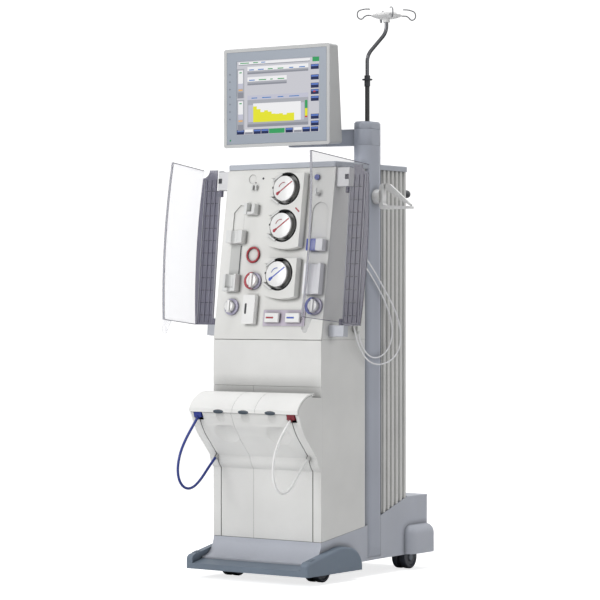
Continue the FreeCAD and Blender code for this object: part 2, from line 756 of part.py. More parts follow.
def make_connectors():
    """Blue and red hose connectors under the ends of the hood lip."""
    items = []
    for side, sign in (("left", -1), ("right", 1)):
        start, after = HOSE_STARTS[side]
        block = box(f"connector_{side}", (f"{sign}*hose_side - 14", "-front_reach - 119.5", "508"),
                    ("28", "27.2", "16"))
        sleeve = doc.addObject("Part::Cylinder", f"sleeve_{side}")
        sleeve.Placement = Placement(start, Rotation(Vector(0, 0, 1), start - after))
        bind(sleeve, Radius="blue_hose_radius + 2", Height="20")
        items.append(fuse(f"connector_{side}_whole", [block, sleeve]))
    node("hose_connectors", group("connector_pair", items))


# Treatment module

def make_module():
    shell = new_body("module_shell")
    slope = "tan(face_tilt)"
    behind = "front_wall/cos(face_tilt)"
    profile = outline(shell, "module_profile", "YZ_Plane", [
        (f"-front_reach + {behind} + fit_gap", "module_bottom"),
        ("-column_front - fit_gap", "module_bottom"),
        ("-column_front - fit_gap", "module_top"),
        (f"-front_reach + {behind} + fit_gap + (module_top - module_bottom)*{slope}",
         "module_top"),
    ])
    pad(shell, profile, "cabinet_width", middle=True)
    room = outline(shell, "module_room", "YZ_Plane", [
        ("-front_reach - 20", "module_bottom + panel_wall"),
        ("-column_front - panel_wall - fit_gap", "module_bottom + panel_wall"),
        ("-column_front - panel_wall - fit_gap", "module_top + 20"),
        ("-front_reach - 20", "module_top + 20"),
    ])
    pocket(shell, room, "cabinet_width - 2*panel_wall", middle=True)
    ports = []
    for number, (end, after) in enumerate(LINE_ENDS):
        barb = doc.addObject("Part::Cylinder", f"barb_{number}")
        barb.Placement = Placement(end, Rotation(Vector(0, 0, 1), end - after))
        bind(barb, Radius="line_radius + 1.6", Height="16")
        back = end + (end - after).normalize() * 17
        block = box(f"port_{number}",
                    (f"{HALF} - panel_wall", f"{back.y - 8:.2f}", f"{back.z - 8:.2f}"),
                    (f"{back.x + 7:.2f} - {HALF} + panel_wall", "16", "16"))
        ports += [block, barb]
    node("module_housing", fuse("module_with_ports", [shell] + ports))

    face = new_body("face_plate")
    plate = outline(face, "face_plan", "XZ_Plane",
                    rectangle((f"-({HALF})", "0"), (HALF, "face_length")))
    pad(face, plate, "front_wall", turned=True)
    arch = [("-172", "306"), ("-172", "405"), ("-148", "430", "25", "left"),
            ("-128", "430"), ("-128", "306")]
    pocket(face, outline(face, "arch_left", "XZ_Plane", arch[::-1]), "recess_deep")
    channel = [("-150", "204"), ("-136", "204"), ("-136", "300"), ("-150", "300")]
    pocket(face, outline(face, "channel", "XZ_Plane", channel), "recess_deep + 1")
    arch = [("134", "318"), ("196", "318"), ("196", "400"), ("165", "432", "31.5", "right"),
            ("134", "400", "31.5", "right")]
    pocket(face, outline(face, "arch_right", "XZ_Plane", arch), "recess_deep")
    bores = [cylinder(f"shaft_bore_{which}", ("pump_side", "-1", up),
                      "shaft_radius + running_gap", "front_wall + 2", axis="y")
             for which, up in PUMPS]
    bores.append(cylinder("round_recess", ("-110", "-1", "512"), "15", "recess_deep", axis="y"))
    bores.append(cylinder("button_bore", ("145", "-1", "510"), "5 + running_gap", "20",
                          axis="y"))
    for name, across, up in (("red", "-66", "184"), ("level", "-146", "102"),
                             ("blue", "178", "104")):
        bores.append(cylinder(f"clamp_bore_{name}", (across, "-1", up),
                              "shaft_radius + running_gap", "20", axis="y"))
    for name, across in (("red", "-6"), ("blue", "74")):
        bores.append(cylinder(f"pad_bore_{name}", (f"{across} + 27", "-1", "66"),
                              "4 + running_gap", "20", axis="y"))
    node("module_face", on_face(cut("face_cut", face, bores)))


PUMPS = (("high", "pump_up_high"), ("middle", "pump_up_middle"), ("low", "pump_up_low"))


def housing_outline(low, top):
    return [("pump_left", f"{low} + 9"), ("pump_right", low, "housing_belly", "right"),
            ("pump_right", f"{top}"), ("pump_left", f"{top}")]


def make_pumps():
    """Roller pumps: raised housings with wells, C-shaped races, and rotors with two rollers."""
    housings = []
    for which, low, top, members in (
            ("double", "upper_housing_low", "upper_housing_top", PUMPS[:2]),
            ("single", "lower_housing_low", "lower_housing_top", PUMPS[2:])):
        body = new_body(f"housing_{which}")
        plan = outline(body, f"housing_plan_{which}", "XZ_Plane", housing_outline(low, top))
        pad(body, plan, "pump_high")
        wells = []
        for member, up in members:
            wells.append(cylinder(f"pump_well_{member}",
                                  ("pump_side + well_shift", "-pump_high - 1", up),
                                  "pump_well", "pump_high - well_floor + 1", axis="y"))
            wells.append(cylinder(f"pump_bore_{member}", ("pump_side", "-pump_high", up),
                                  "shaft_radius + running_gap", "pump_high + 1", axis="y"))
            for slot, rise in (("over", "24"), ("under", "-34")):
                wells.append(box(f"line_slot_{slot}_{member}",
                                 ("pump_left - 1", "-pump_high - 1", f"{up} + {rise}"),
                                 ("pump_side + well_shift - pump_left - 24", "13", "10")))
        housings.append(cut(f"housing_{which}_cut", body, wells))
    node("pump_housings", on_face(group("housing_pair", housings)))
    races = []
    for member, up in PUMPS:
        across = "pump_side + well_shift"
        ring = cylinder(f"race_out_{member}", (across, "-pump_high", up), "pump_well - 0.2",
                        "pump_high - well_floor", axis="y")
        hollow = cylinder(f"race_in_{member}", (across, "-pump_high - 1", up),
                          "pump_well - 0.2 - race_wall", "pump_high + 2", axis="y")
        mouth = box(f"race_mouth_{member}", ("pump_side - 70", "-pump_high - 1", f"{up} - 42"),
                    ("62", "pump_high + 2", "84"))
        races.append(cut(f"race_{member}", ring, [hollow, mouth]))
    node("pump_races", on_face(group("race_set", races)))
    for member, up in PUMPS:
        make_rotor(member, up)


def make_rotor(member, up):
    """Pump rotor: shaft, hub, two sprung rollers opposite each other and a cover disc."""
    disc = cylinder(f"disc_{member}", ("0", "-pump_high - rotor_proud", "0"), "rotor_radius",
                    "rotor_disc", axis="y")
    hub = cylinder(f"hub_{member}", ("0", "-pump_high - 1", "0"), "14",
                   "pump_high - well_floor - 1", axis="y")
    shaft = cylinder(f"shaft_{member}", ("0", "-pump_high", "0"), "shaft_radius",
                     "pump_high + front_wall + 16", axis="y")
    parts = [disc, hub, shaft]
    for sign in (-1, 1):
        arm = box(f"roller_arm_{member}_{'a' if sign < 0 else 'b'}",
                  ("-7", "-pump_high + 6",
                   "0" if sign > 0 else "-roller_arm"),
                  ("14", "6", "roller_arm"))
        roller = cylinder(f"roller_{member}_{'a' if sign < 0 else 'b'}",
                          ("0", "-pump_high - 0.5", f"{sign}*roller_arm"), "roller_radius",
                          "pump_high - well_floor - 3", axis="y")
        parts += [arm, roller]
    rotor = fuse(f"rotor_{member}", parts)
    lean = Rotation(Vector(-1, 0, 0), value("face_tilt"))
    rotor.Placement = Placement(Vector(), lean)
    bind(rotor, Placement__Rotation__Angle="face_tilt")
    place(rotor, "pump_side", f"-front_reach + ({up})*sin(face_tilt)",
          f"module_bottom + ({up})*cos(face_tilt)")
    node(f"pump_rotor_{member}", rotor)


def make_line_clips():
    """Clips, hooks and the ring that guide the blood lines on the module face."""
    clip = box("clip_block", ("-176", "-clip_high", "304"), ("62", "clip_high", "40"))
    clip_cut = cut("chamber_clip", clip, [
        cylinder("clip_room", ("-143", "-clip_high - 2", "303"), "13", "42")])
    cradle = box("cradle_block", ("-172", "-clip_high", "150"), ("48", "clip_high", "54"))
    cradle_cut = cut("cradle", cradle, [
        cylinder("cradle_room", ("-148", "-clip_high", "160"), "16", "50"),
        cylinder("cradle_outlet", ("-148", "-clip_high", "149"), "6", "20")])
    hook = [box("hook_foot", ("-118", "-20", "396"), ("44", "20", "8")),
            box("hook_left", ("-118", "-22", "396"), ("11", "22", "36")),
            box("hook_right", ("-85", "-26", "396"), ("11", "26", "32"))]
    tabs = [box(f"tab_{n}", (f"-106 + {14 * n}", "-9", "476"), ("5", "9", "15"))
            for n in range(2)]
    ring = doc.addObject("Part::Torus", "ring")
    ring.Placement = Placement(Vector(), TURNS["y"])
    bind(ring, Radius1="23", Radius2="3.2")
    place(ring, "-80", "-2.6", "268")
    ring_cut = cut("signal_ring", ring, [box("ring_back", ("-110", "0", "238"),
                                             ("60", "10", "60"))])
    right_hook = [box("right_hook_stem", ("150", "-18", "452"), ("8", "18", "8")),
                  box("right_hook_end", ("150", "-22", "452"), ("8", "6", "20"))]
    node("line_clips", on_face(group("line_clip_set", [
        clip_cut, cradle_cut, fuse("line_hook", hook), *tabs, ring_cut,
        fuse("right_hook", right_hook)])))


def make_chamber_holder():
    """Cup for the return chamber, with the air detector above it."""
    cup = box("cup_block", ("138", "-24", "140"), ("62", "24", "96"))
    cone = doc.addObject("Part::Cone", "cup_room")
    bind(cone, Radius1="9", Radius2="22", Height="98")
    place(cone, "169", "-24", "139")
    cup_cut = cut("cup", cup, [cone])
    detector = box("detector_block", ("140", "-25", "276"), ("60", "25", "36"))
    detector_cut = cut("detector", detector, [
        box("detector_slot", ("168", "-26", "275"), ("6", "20", "38"))])
    node("chamber_holder", on_face(group("holder_set", [cup_cut, detector_cut])))


def make_slot_unit():
    unit = new_body("slot_box")
    plan = outline(unit, "slot_plan", "XZ_Plane", rectangle(("-90", "46"), ("-44", "138")))
    pad(unit, plan, "slot_high")
    slot = outline(unit, "slot_mouth", "XZ_Plane", [
        ("-82", "80"), ("-74", "80", "4.1", "right"), ("-74", "108"),
        ("-82", "108", "4.1", "right")], "slot_high")
    pocket(unit, slot, "slot_high - 2")
    round_edges(unit, "slot_round", "2", lambda edge: runs_along(edge, "y")
                and abs(edge.CenterOfMass.x + 67) > 20)
    strip = box("strip_block", ("-18", "-2", "42"), ("160", "2", "50"))
    strip_cut = cut("strip", strip, [
        cylinder(f"strip_bore_{name}", (f"{across} + 27", "-3", "66"), "4 + running_gap", "5",
                 axis="y") for name, across in (("red", "-6"), ("blue", "74"))])
    node("slot_unit", on_face(group("slot_set", [unit, strip_cut])))


def make_controls():
    """Button, line clamps and line pads, each on its own stem through the face."""
    cap = cylinder("button_cap", ("145", "-7.3", "510"), "button_radius", "4", axis="y")
    stem = cylinder("button_stem", ("145", "-5", "510"), "5", "front_wall + 9", axis="y")
    node("round_button", on_face(fuse("button_whole", [cap, stem])))
    for name, across, up, lobe in (("red", "-66", "184", "16"), ("level", "-146", "102", "13"),
                                   ("blue", "178", "104", "14")):
        disc = cylinder(f"clamp_disc_{name}", (across, "-6.3", up), "clamp_radius", "6",
                        axis="y")
        knob = cylinder(f"clamp_knob_{name}", (across, "-20", up), f"{lobe} + 3", "15",
                        axis="y")
        wing = box(f"clamp_wing_{name}", (f"{across} - 5", "-24", f"{up} - {lobe} - 6"),
                   ("10", "18", f"2*({lobe} + 6)"))
        stem = cylinder(f"clamp_stem_{name}", (across, "-8", up), "shaft_radius",
                        "front_wall + 14", axis="y")
        solids = [disc, knob, wing, stem]
        if name != "level":
            rim = cylinder(f"lever_rim_{name}", (f"{across} - 6", "-13", up), "clamp_radius + 1",
                           "9", axis="y")
            hollow = cylinder(f"lever_hollow_{name}", (f"{across} + 4", "-14", up),
                              "clamp_radius", "11", axis="y")
            solids.append(cut(f"clamp_lever_{name}", rim, [hollow]))
        node(f"{name}_line_clamp", on_face(fuse(f"clamp_{name}", solids)))
    for name, across in (("red", "-6"), ("blue", "74")):
        top = "-2 - pad_travel - 0.3"
        key = new_body(f"pad_{name}")
        plan = outline(key, f"pad_plan_{name}", "XZ_Plane",
                       rectangle((across, "52"), (f"{across} + 54", "82")),
                       "2 + pad_travel + 0.3")
        pad(key, plan, "9")
        front = value("-2 - pad_travel - 0.3 - 9")
        round_edges(key, f"pad_round_{name}", "3",
                    lambda edge, front=front: abs(edge.CenterOfMass.y - front) < 0.1)
        stem = cylinder(f"pad_stem_{name}", (f"{across} + 27", f"{top} - 1", "66"), "4",
                        "front_wall + 12", axis="y")
        node(f"{name}_line_pad", on_face(fuse(f"pad_{name}_whole", [key, stem])))


# Doors

def hinge_placement(sign, turn):
    """Place something drawn on a door hinge at its foot, turned about the leaning hinge."""
    foot = Vector(sign * value("hinge_side"), value("-front_reach + hinge_back"),
                  value("module_bottom"))
    lean = Rotation(Vector(1, 0, 0), -value("door_tilt"))
    return Placement(foot, lean * Rotation(Vector(0, 0, 1), turn))


def pane_outline(inner):
    """Upright strip between the bowed outer face and a line set back from it."""
    bend = "((door_high - door_low)^2/4 + door_bow^2)/(2*door_bow)"
    return [(f"-door_depth + {inner}", "door_low"),
            (f"-door_depth + {inner}", "door_high", bend, "left"),
            ("-door_depth", "door_high"),
            ("-door_depth", "door_low", bend, "right")]


def make_door(side):
    """Door that wraps round the pumps: a bowed clear pane on a ribbed side wall."""
    sign = -1 if side == "left" else 1
    turn = -value("left_open") if side == "left" else value("right_open")
    width = f"hinge_side + door_wall - {sign}*door_split - door_gap/2"
    pane = new_body(f"pane_{side}")
    sheet_outline = outline(pane, f"pane_profile_{side}", "YZ_Plane", pane_outline("door_wall"),
                            f"{sign}*door_wall")
    pad(pane, sheet_outline, width, turned=sign > 0)
    free = f"{sign}*(door_wall - ({width}))"
    lip = outline(pane, f"lip_profile_{side}", "YZ_Plane", pane_outline("door_lip"), free)
    pad(pane, lip, "door_wall", turned=sign < 0)
    ear = outline(pane, f"ear_profile_{side}", "XZ_Plane", [
        (free, "door_low + 5"), (free, "door_low - ear_drop + 14"),
        (f"{free} + {sign}*16", "door_low - ear_drop", "17", "right" if sign > 0 else "left"),
        (f"{free} + {sign}*28", "door_low - ear_drop + 12", "17", "right" if sign > 0 else "left"),
        (f"{free} + {sign}*52", "door_low + 5"),
    ], "door_depth - door_wall")
    pad(pane, ear, "door_wall")
    latch = cylinder(f"latch_{side}", (f"{free} + {sign}*14", "-door_depth", "door_low - ear_drop + 13"),
                     "4.5", "door_wall + 7", axis="y")
    whole = fuse(f"pane_whole_{side}", [pane, latch])
    whole.Placement = hinge_placement(sign, turn)
    node(f"door_{side}_pane", whole)

    wall = new_body(f"wall_{side}")
    bend = "((door_high - door_low)^2/4 + door_bow^2)/(2*door_bow)"
    edge = "-door_depth + door_wall"
    profile = outline(wall, f"wall_profile_{side}", "YZ_Plane", [
        ("-4", "door_low"),
        ("-4", "door_high - 67"),
        ("-19", "door_high - 67"),
        ("-19", "door_high"),
        (f"{edge} + door_corner - 4", "door_high"),
        (f"{edge} - 1.9", "door_high - door_corner", "door_corner", "left"),
        (edge, "door_low", bend, "right"),
    ], "0")
    pad(wall, profile, "door_wall", turned=sign < 0)
    for number in range(3):
        ridge = outline(wall, f"ridge_{number}_{side}", "XY_Plane", rectangle(
            ("0", f"-24 - {17 * number}"), (f"-{sign}*2", f"-21 - {17 * number}")),
            "door_low + 8")
        pad(wall, ridge, "door_high - door_low - 40")
    knuckles = []
    for spot, low in (("low", "door_low + fit_gap"), ("high", "door_high - 67 - 20")):
        knuckles.append(cylinder(f"knuckle_{spot}_{side}", ("0", "0", low), "knuckle_radius",
                                 "20 - fit_gap"))
    whole = fuse(f"wall_whole_{side}", [wall] + knuckles)
    bore = cylinder(f"knuckle_bore_{side}", ("0", "0", "0"), "door_pin + running_gap", "600")
    hollow = cut(f"wall_cut_{side}", whole, [bore])
    hollow.Placement = hinge_placement(sign, turn)
    node(f"door_{side}_wall", hollow)


def make_hinge_blocks():
    """Blocks on the module's sides that carry the door pins."""
    blocks = []
    for side, sign in (("left", -1), ("right", 1)):
        reach = f"(hinge_side - {HALF} - fit_gap/3)"
        for spot, low, high, pin_low, pin_high in (
                ("low", "door_low - 34", "door_low - fit_gap", "door_low - 34", "door_low + 18"),
                ("high", "door_high - 67 + fit_gap", "door_high - 8",
                 "door_high - 67 - 18", "door_high - 8")):
            beyond = "hinge_step" if spot == "low" else "8"
            across = f"-{reach}" if sign > 0 else f"-({beyond})"
            block = box(f"hinge_block_{spot}_{side}", (across, "-10", low),
                        (f"{reach} + {beyond}", "24", f"{high} - ({low})"))
            pin = cylinder(f"hinge_pin_{spot}_{side}", ("0", "0", pin_low), "door_pin",
                           f"{pin_high} - ({pin_low})")
            item = fuse(f"hinge_{spot}_{side}", [block, pin])
            item.Placement = hinge_placement(sign, 0)
            blocks.append(item)
    node("door_hinge_blocks", group("hinge_block_set", blocks))


# Column, covers and handle

def make_column():
    trunk = stadium("trunk", "0", "column_foot", "column_top")
    neck = cylinder("column_neck", ("column_side", "column_way", "column_top - 1"),
                    "neck_radius", "ring_top - column_top + 1 - fit_gap")
    bore = cylinder("pole_bore", ("column_side", "column_way", "tube_foot"),
                    "tube_radius", "ring_top - tube_foot + 5")
    spigot = cylinder("spigot_bore",
                      ("column_side + column_wide/2 - spigot_long - 1", "column_way",
                       "holder_up"), "spigot_radius + running_gap", "spigot_long + 10",
                      axis="x")
    scoop = doc.addObject("Part::Box", "scoop")
    scoop.Placement = Placement(Vector(), Rotation(Vector(0, 1, 0), 8))
    bind(scoop, Length="30", Width="column_long + 10", Height="70")
    place(scoop, f"{HALF} - 1", "column_way - column_long/2 - 5", "column_foot - 20")
    hollow = stadium("column_hollow", "-column_wall", "column_foot - 1", "tube_foot - 24")
    node("column", cut("column_cut", fuse("column_solid", [trunk, neck]),
                       [bore, spigot, scoop, hollow]))
    cap = stadium("cap_block", "0", "ring_top", "cap_top - 4")
    crown = stadium("cap_crown", "-3", "cap_top - 5", "cap_top")
    cap_bore = cylinder("cap_bore", ("column_side", "column_way", "ring_top - 1"),
                        "tube_radius", "40")
    tube = cylinder("pole_sleeve", ("column_side", "column_way", "tube_foot"),
                    "tube_radius", "tube_top - tube_foot")
    tube_bore = cylinder("pole_sleeve_bore", ("column_side", "column_way", "tube_foot - 1"),
                         "pole_radius + running_gap", "tube_top - tube_foot + 2")
    node("column_cap", group("cap_set", [
        cut("cap_cut", fuse("cap_whole", [cap, crown]), [cap_bore]),
        cut("pole_tube", tube, [tube_bore])]))


def rib_panel(side, start, count):
    """Ribbed side panel: a plate with upright half-round ribs over a slanted lower edge."""
    sign = -1 if side == "left" else 1
    body = new_body(f"ribs_{side}")
    skin = f"{HALF} - rib_high"
    plan = outline(body, f"rib_plate_{side}", "XY_Plane", rectangle(
        (f"{sign}*({skin} - panel_wall)", start), (f"{sign}*({skin})", "rear_reach")), "side_low")
    pad(body, plan, "module_top - side_low - fit_gap")
    crown = "((rib_wide/2)^2 + rib_high^2)/(2*rib_high)"
    first = f"{start} + 5"
    rib = outline(body, f"rib_{side}", "XY_Plane", [
        (f"{sign}*({skin} - 1)", first),
        (f"{sign}*({skin})", first),
        (f"{sign}*({skin})", f"{first} + rib_wide", crown, "right" if sign > 0 else "left"),
        (f"{sign}*({skin} - 1)", f"{first} + rib_wide"),
    ], "side_low")
    pad(body, rib, "module_top - side_low - fit_gap")
    doc.recompute()
    row = body.newObject("PartDesign::LinearPattern", f"rib_row_{side}")
    row.Originals = [doc.getObject(f"rib_{side}_pad")]
    row.Direction = (rib, ["V_Axis"])
    row.Occurrences = count
    bind(row, Length=f"rib_pitch*{count - 1}")
    body.Tip = row
    doc.recompute()
    low = outline(body, f"rib_foot_{side}", "YZ_Plane", [
        ("-column_front - 5", "side_low - 5"),
        ("rear_reach + 5", "side_low - 5"),
        ("rear_reach + 5", "block_top + fit_gap + 1.5"),
        ("-column_front - 5", "side_low + fit_gap - 1.4"),
    ], f"{sign}*{HALF} + {sign}*5")
    pocket(body, low, "40", turned=sign < 0)
    return body


def make_covers():
    right = rib_panel("right", "rib_start + fit_gap", 6)
    left = rib_panel("left", "-column_front", 10)
    node("ribbed_side_panels", group("rib_pair", [right, left]))

    rear = new_body("rear_plate")
    inside = f"{HALF} - rib_high - panel_wall - fit_gap"
    plan = outline(rear, "rear_plan", "XZ_Plane", rectangle(
        (f"-({inside})", "block_top + fit_gap"), (inside, "module_top - fit_gap")),
        "-rear_reach")
    pad(rear, plan, "panel_wall")
    slot = outline(rear, "vent", "XZ_Plane", rectangle(("-90", "820"), ("90", "826")),
                   "-rear_reach")
    vent = pocket(rear, slot, "panel_wall + 2", middle=True)
    row = rear.newObject("PartDesign::LinearPattern", "vents")
    row.Originals = [vent]
    row.Direction = (slot, ["V_Axis"])
    row.Occurrences = 12
    bind(row, Length="154")
    rear.Tip = row
    node("rear_cover", rear)

    top = new_body("cover")
    edge = f"{HALF} + cover_over"
    front = "front_reach - (module_top - module_bottom)*tan(face_tilt)"
    plan = outline(top, "cover_plan", "XY_Plane", rectangle(
        (f"-({edge})", f"-({front}) - cover_over"), (edge, "rear_reach + cover_over")),
        "module_top")
    pad(top, plan, "cover_top - module_top")
    round_edges(top, "cover_corners", "9", lambda side: runs_along(side, "z"))
    height = value("cover_top")
    round_edges(top, "cover_edge", "3", lambda side: abs(side.CenterOfMass.z - height) < 0.1)
    inside = f"{HALF} - 12"
    room = outline(top, "cover_room", "XY_Plane", rectangle(
        (f"-({inside})", f"-({front}) + 14"), (inside, "rear_reach - 12")), "module_top")
    pocket(top, room, "cover_top - module_top - 4", turned=True)
    hole = stadium("cover_hole", "fit_gap", "module_top - 1", "cover_top + 1")
    node("top_cover", cut("cover_cut", top, [hole]))


def tangent_path(points, radii):
    """Straight runs joined by tangent arcs."""
    edges = []
    start = points[0]
    for before, corner, after, radius in zip(points, points[1:], points[2:], radii):
        inward = (before - corner).normalize()
        outward = (after - corner).normalize()
        half = inward.getAngle(outward) / 2
        trim = radius / math.tan(half)
        first = corner + inward * trim
        last = corner + outward * trim
        centre = corner + (inward + outward).normalize() * (radius / math.sin(half))
        middle = centre + (corner - centre).normalize() * radius
        edges.append(Part.LineSegment(start, first).toShape())
        edges.append(Part.Arc(first, middle, last).toShape())
        start = last
    edges.append(Part.LineSegment(start, points[-1]).toShape())
    return Part.Wire(edges)


def swept(path, radius):
    """Round bar along a path."""
    start = path.Edges[0]
    way = start.tangentAt(start.FirstParameter)
    ring = Part.Wire([Part.Circle(start.valueAt(start.FirstParameter), way, radius).toShape()])
    return path.makePipeShell([ring], True, True)


def make_handle():
    side, up = value("handle_side"), value("handle_up")
    wall, back = value("rear_reach"), value("rear_reach + handle_back - handle_radius")
    bend = value("handle_bend")
    points = [Vector(side, wall, up), Vector(side, back, up), Vector(-side, back, up),
              Vector(-side, wall, up)]
    item = doc.addObject("Part::Feature", "handle")
    item.Shape = swept(tangent_path(points, [bend, bend]), value("handle_radius"))
    node("push_handle", item)


def make_rear_connections():
    """Water inlet and drain stubs and the mains inlet, low on the rear cover."""
    wall = "rear_reach"
    plate = box("stub_plate", ("-135", wall, "300"), ("110", "4", "60"))
    water = cylinder("water_stub", ("-105", wall, "330"), "inlet_radius", "4 + stub_long",
                     axis="y")
    drain = cylinder("drain_stub", ("-60", wall, "330"), "drain_radius", "4 + stub_long",
                     axis="y")
    frame = box("mains_frame", ("50", wall, "305"), ("62", "10", "44"))
    throat = box("mains_throat", ("62", f"{wall} + 1", "314"), ("38", "12", "26"))
    blades = [box(f"mains_blade_{n}", (f"{across}", f"{wall} + 1", up), ("2.5", "8", "6"))
              for n, across, up in ((0, 71, "320"), (1, 88.5, "320"), (2, 79.8, "328"))]
    inlet = cut("mains_inlet", frame, [throat])
    node("rear_connections", group("rear_connection_set", [
        fuse("stubs", [plate, water, drain]), fuse("mains", [inlet] + blades)]))


def make_inner_units():
    """Pump drives behind the module face, the hydraulic unit and the power supply."""
    drives = []
    for member, up in PUMPS:
        motor = cylinder(f"motor_{member}", ("pump_side", "front_wall", up), "30", "66",
                         axis="y")
        bore = cylinder(f"motor_bore_{member}", ("pump_side", "front_wall - 1", up),
                        "shaft_radius + running_gap", "20", axis="y")
        drives.append(cut(f"drive_{member}", motor, [bore]))
    drive_set = on_face(group("drive_set", drives))
    tray = box("tray", ("-150", "-190", "side_low + 70"), ("290", "146", "8"))
    feet = [box(f"tray_foot_{n}", (f"{across}", f"{along}", "base_top"),
                ("16", "16", "side_low + 71 - base_top"))
            for n, (across, along) in enumerate(((-150, -190), (124, -190), (-150, -60),
                                                 (124, -60)))]
    unit = box("hydraulic_block", ("-140", "-185", "side_low + 78"), ("180", "140", "270"))
    heater = cylinder("heater_tank", ("90", "-115", "side_low + 78"), "45", "260")
    supply = box("power_supply", ("-120", "80", "base_top + 20"), ("180", "92", "240"))
    shelf = box("supply_shelf", ("-130", "72", "base_top"), ("200", "108", "21"))
    node("inner_units", group("inner_set", [
        drive_set, fuse("hydraulics", [tray, unit, heater] + feet),
        fuse("supply", [shelf, supply])]))


# Drip pole

def make_pole():
    """Cranked pole: two bends with a slanted straight between them."""
    bend, slope = value("pole_bend"), math.radians(value("pole_slope"))
    slant = value("pole_slant") + 2 * bend * math.tan(slope / 2)
    low = value("bend_start") + bend * math.tan(slope / 2)
    reach = slant * math.sin(slope)
    high = low + slant * math.cos(slope)
    turn = math.radians(value("pole_turn"))
    axis = Vector(value("column_side"), value("column_way"), 0)
    offset = Vector(math.cos(turn), math.sin(turn), 0) * reach
    points = [axis + Vector(0, 0, value("pole_foot")), axis + Vector(0, 0, low),
              axis + offset + Vector(0, 0, high),
              axis + offset + Vector(0, 0, value("hub_low"))]
    item = doc.addObject("Part::Feature", "pole")
    item.Shape = swept(tangent_path(points, [bend, bend]), value("pole_radius"))
    node("drip_pole", item)
    print("pole offset", round(offset.x, 3), round(offset.y, 3))

    barrel = cylinder("collar_barrel", ("column_side", "column_way", "tube_top + fit_gap"),
                      "collar_radius", "collar_top - tube_top - fit_gap")
    flange = cylinder("collar_flange", ("column_side", "column_way", "tube_top + 20"),
                      "flange_radius", "4")
    bore = cylinder("collar_bore", ("column_side", "column_way", "tube_top - 1"),
                    "pole_radius + running_gap", "60")
    node("pole_collar", cut("collar", fuse("collar_solid", [barrel, flange]), [bore]))
    make_hub(axis + offset)


def make_hub(axis):
    """Hook hub: a turned dish with a flat crown and four bent wire hooks."""
    dish = new_body("dish")
    profile = outline(dish, "dish_profile", "XZ_Plane", [
        ("0", "fit_gap"), ("pole_radius + running_gap", "fit_gap"),
        ("pole_radius + running_gap", "-8"), ("11", "-8"), ("11", "2"),
        ("hub_radius", "11", "95", "right"), ("hub_radius", "15"),
        ("hub_radius - 14", "17"), ("hub_radius - 15", "22"), ("0", "22"),
    ])
    turned = dish.newObject("PartDesign::Revolution", "dish_turned")
    turned.Profile = profile
    turned.ReferenceAxis = (profile, ["V_Axis"])
    turned.Angle = 360
    dish.Placement = Placement(axis + Vector(0, 0, value("hub_low")), Rotation())
    doc.recompute()
    rim = value("hub_radius")
    solids = [dish.Shape]
    wire = value("hook_wire")
    for quarter in range(4):
        points = [Vector(rim - 8, 0, 13), Vector(rim + 20, 0, 13), Vector(rim + 33, 0, -2),
                  Vector(rim + 47, 0, 6), Vector(rim + 46, 0, 26), Vector(rim + 24, 0, 33),
                  Vector(rim + 6, 0, 33)]
        radii = bend_radii(points)
        bar = swept(tangent_path(points, radii), wire)
        bar.Placement = Placement(axis + Vector(0, 0, value("hub_low")),
                                  Rotation(Vector(0, 0, 1), value("pole_turn") + 10
                                           + 90 * quarter))
        solids.append(bar)
    item = doc.addObject("Part::Feature", "hub")
    item.Shape = solids[0].multiFuse(solids[1:])
    node("hook_hub", item)


# Monitor

def monitor_placement(item):
    item.Placement = Placement(Vector(), Rotation(Vector(0, 0, 1), value("monitor_turn")))
    bind(item, Placement__Rotation__Angle="monitor_turn")
    return place(item, "monitor_side", "monitor_way", "monitor_up")


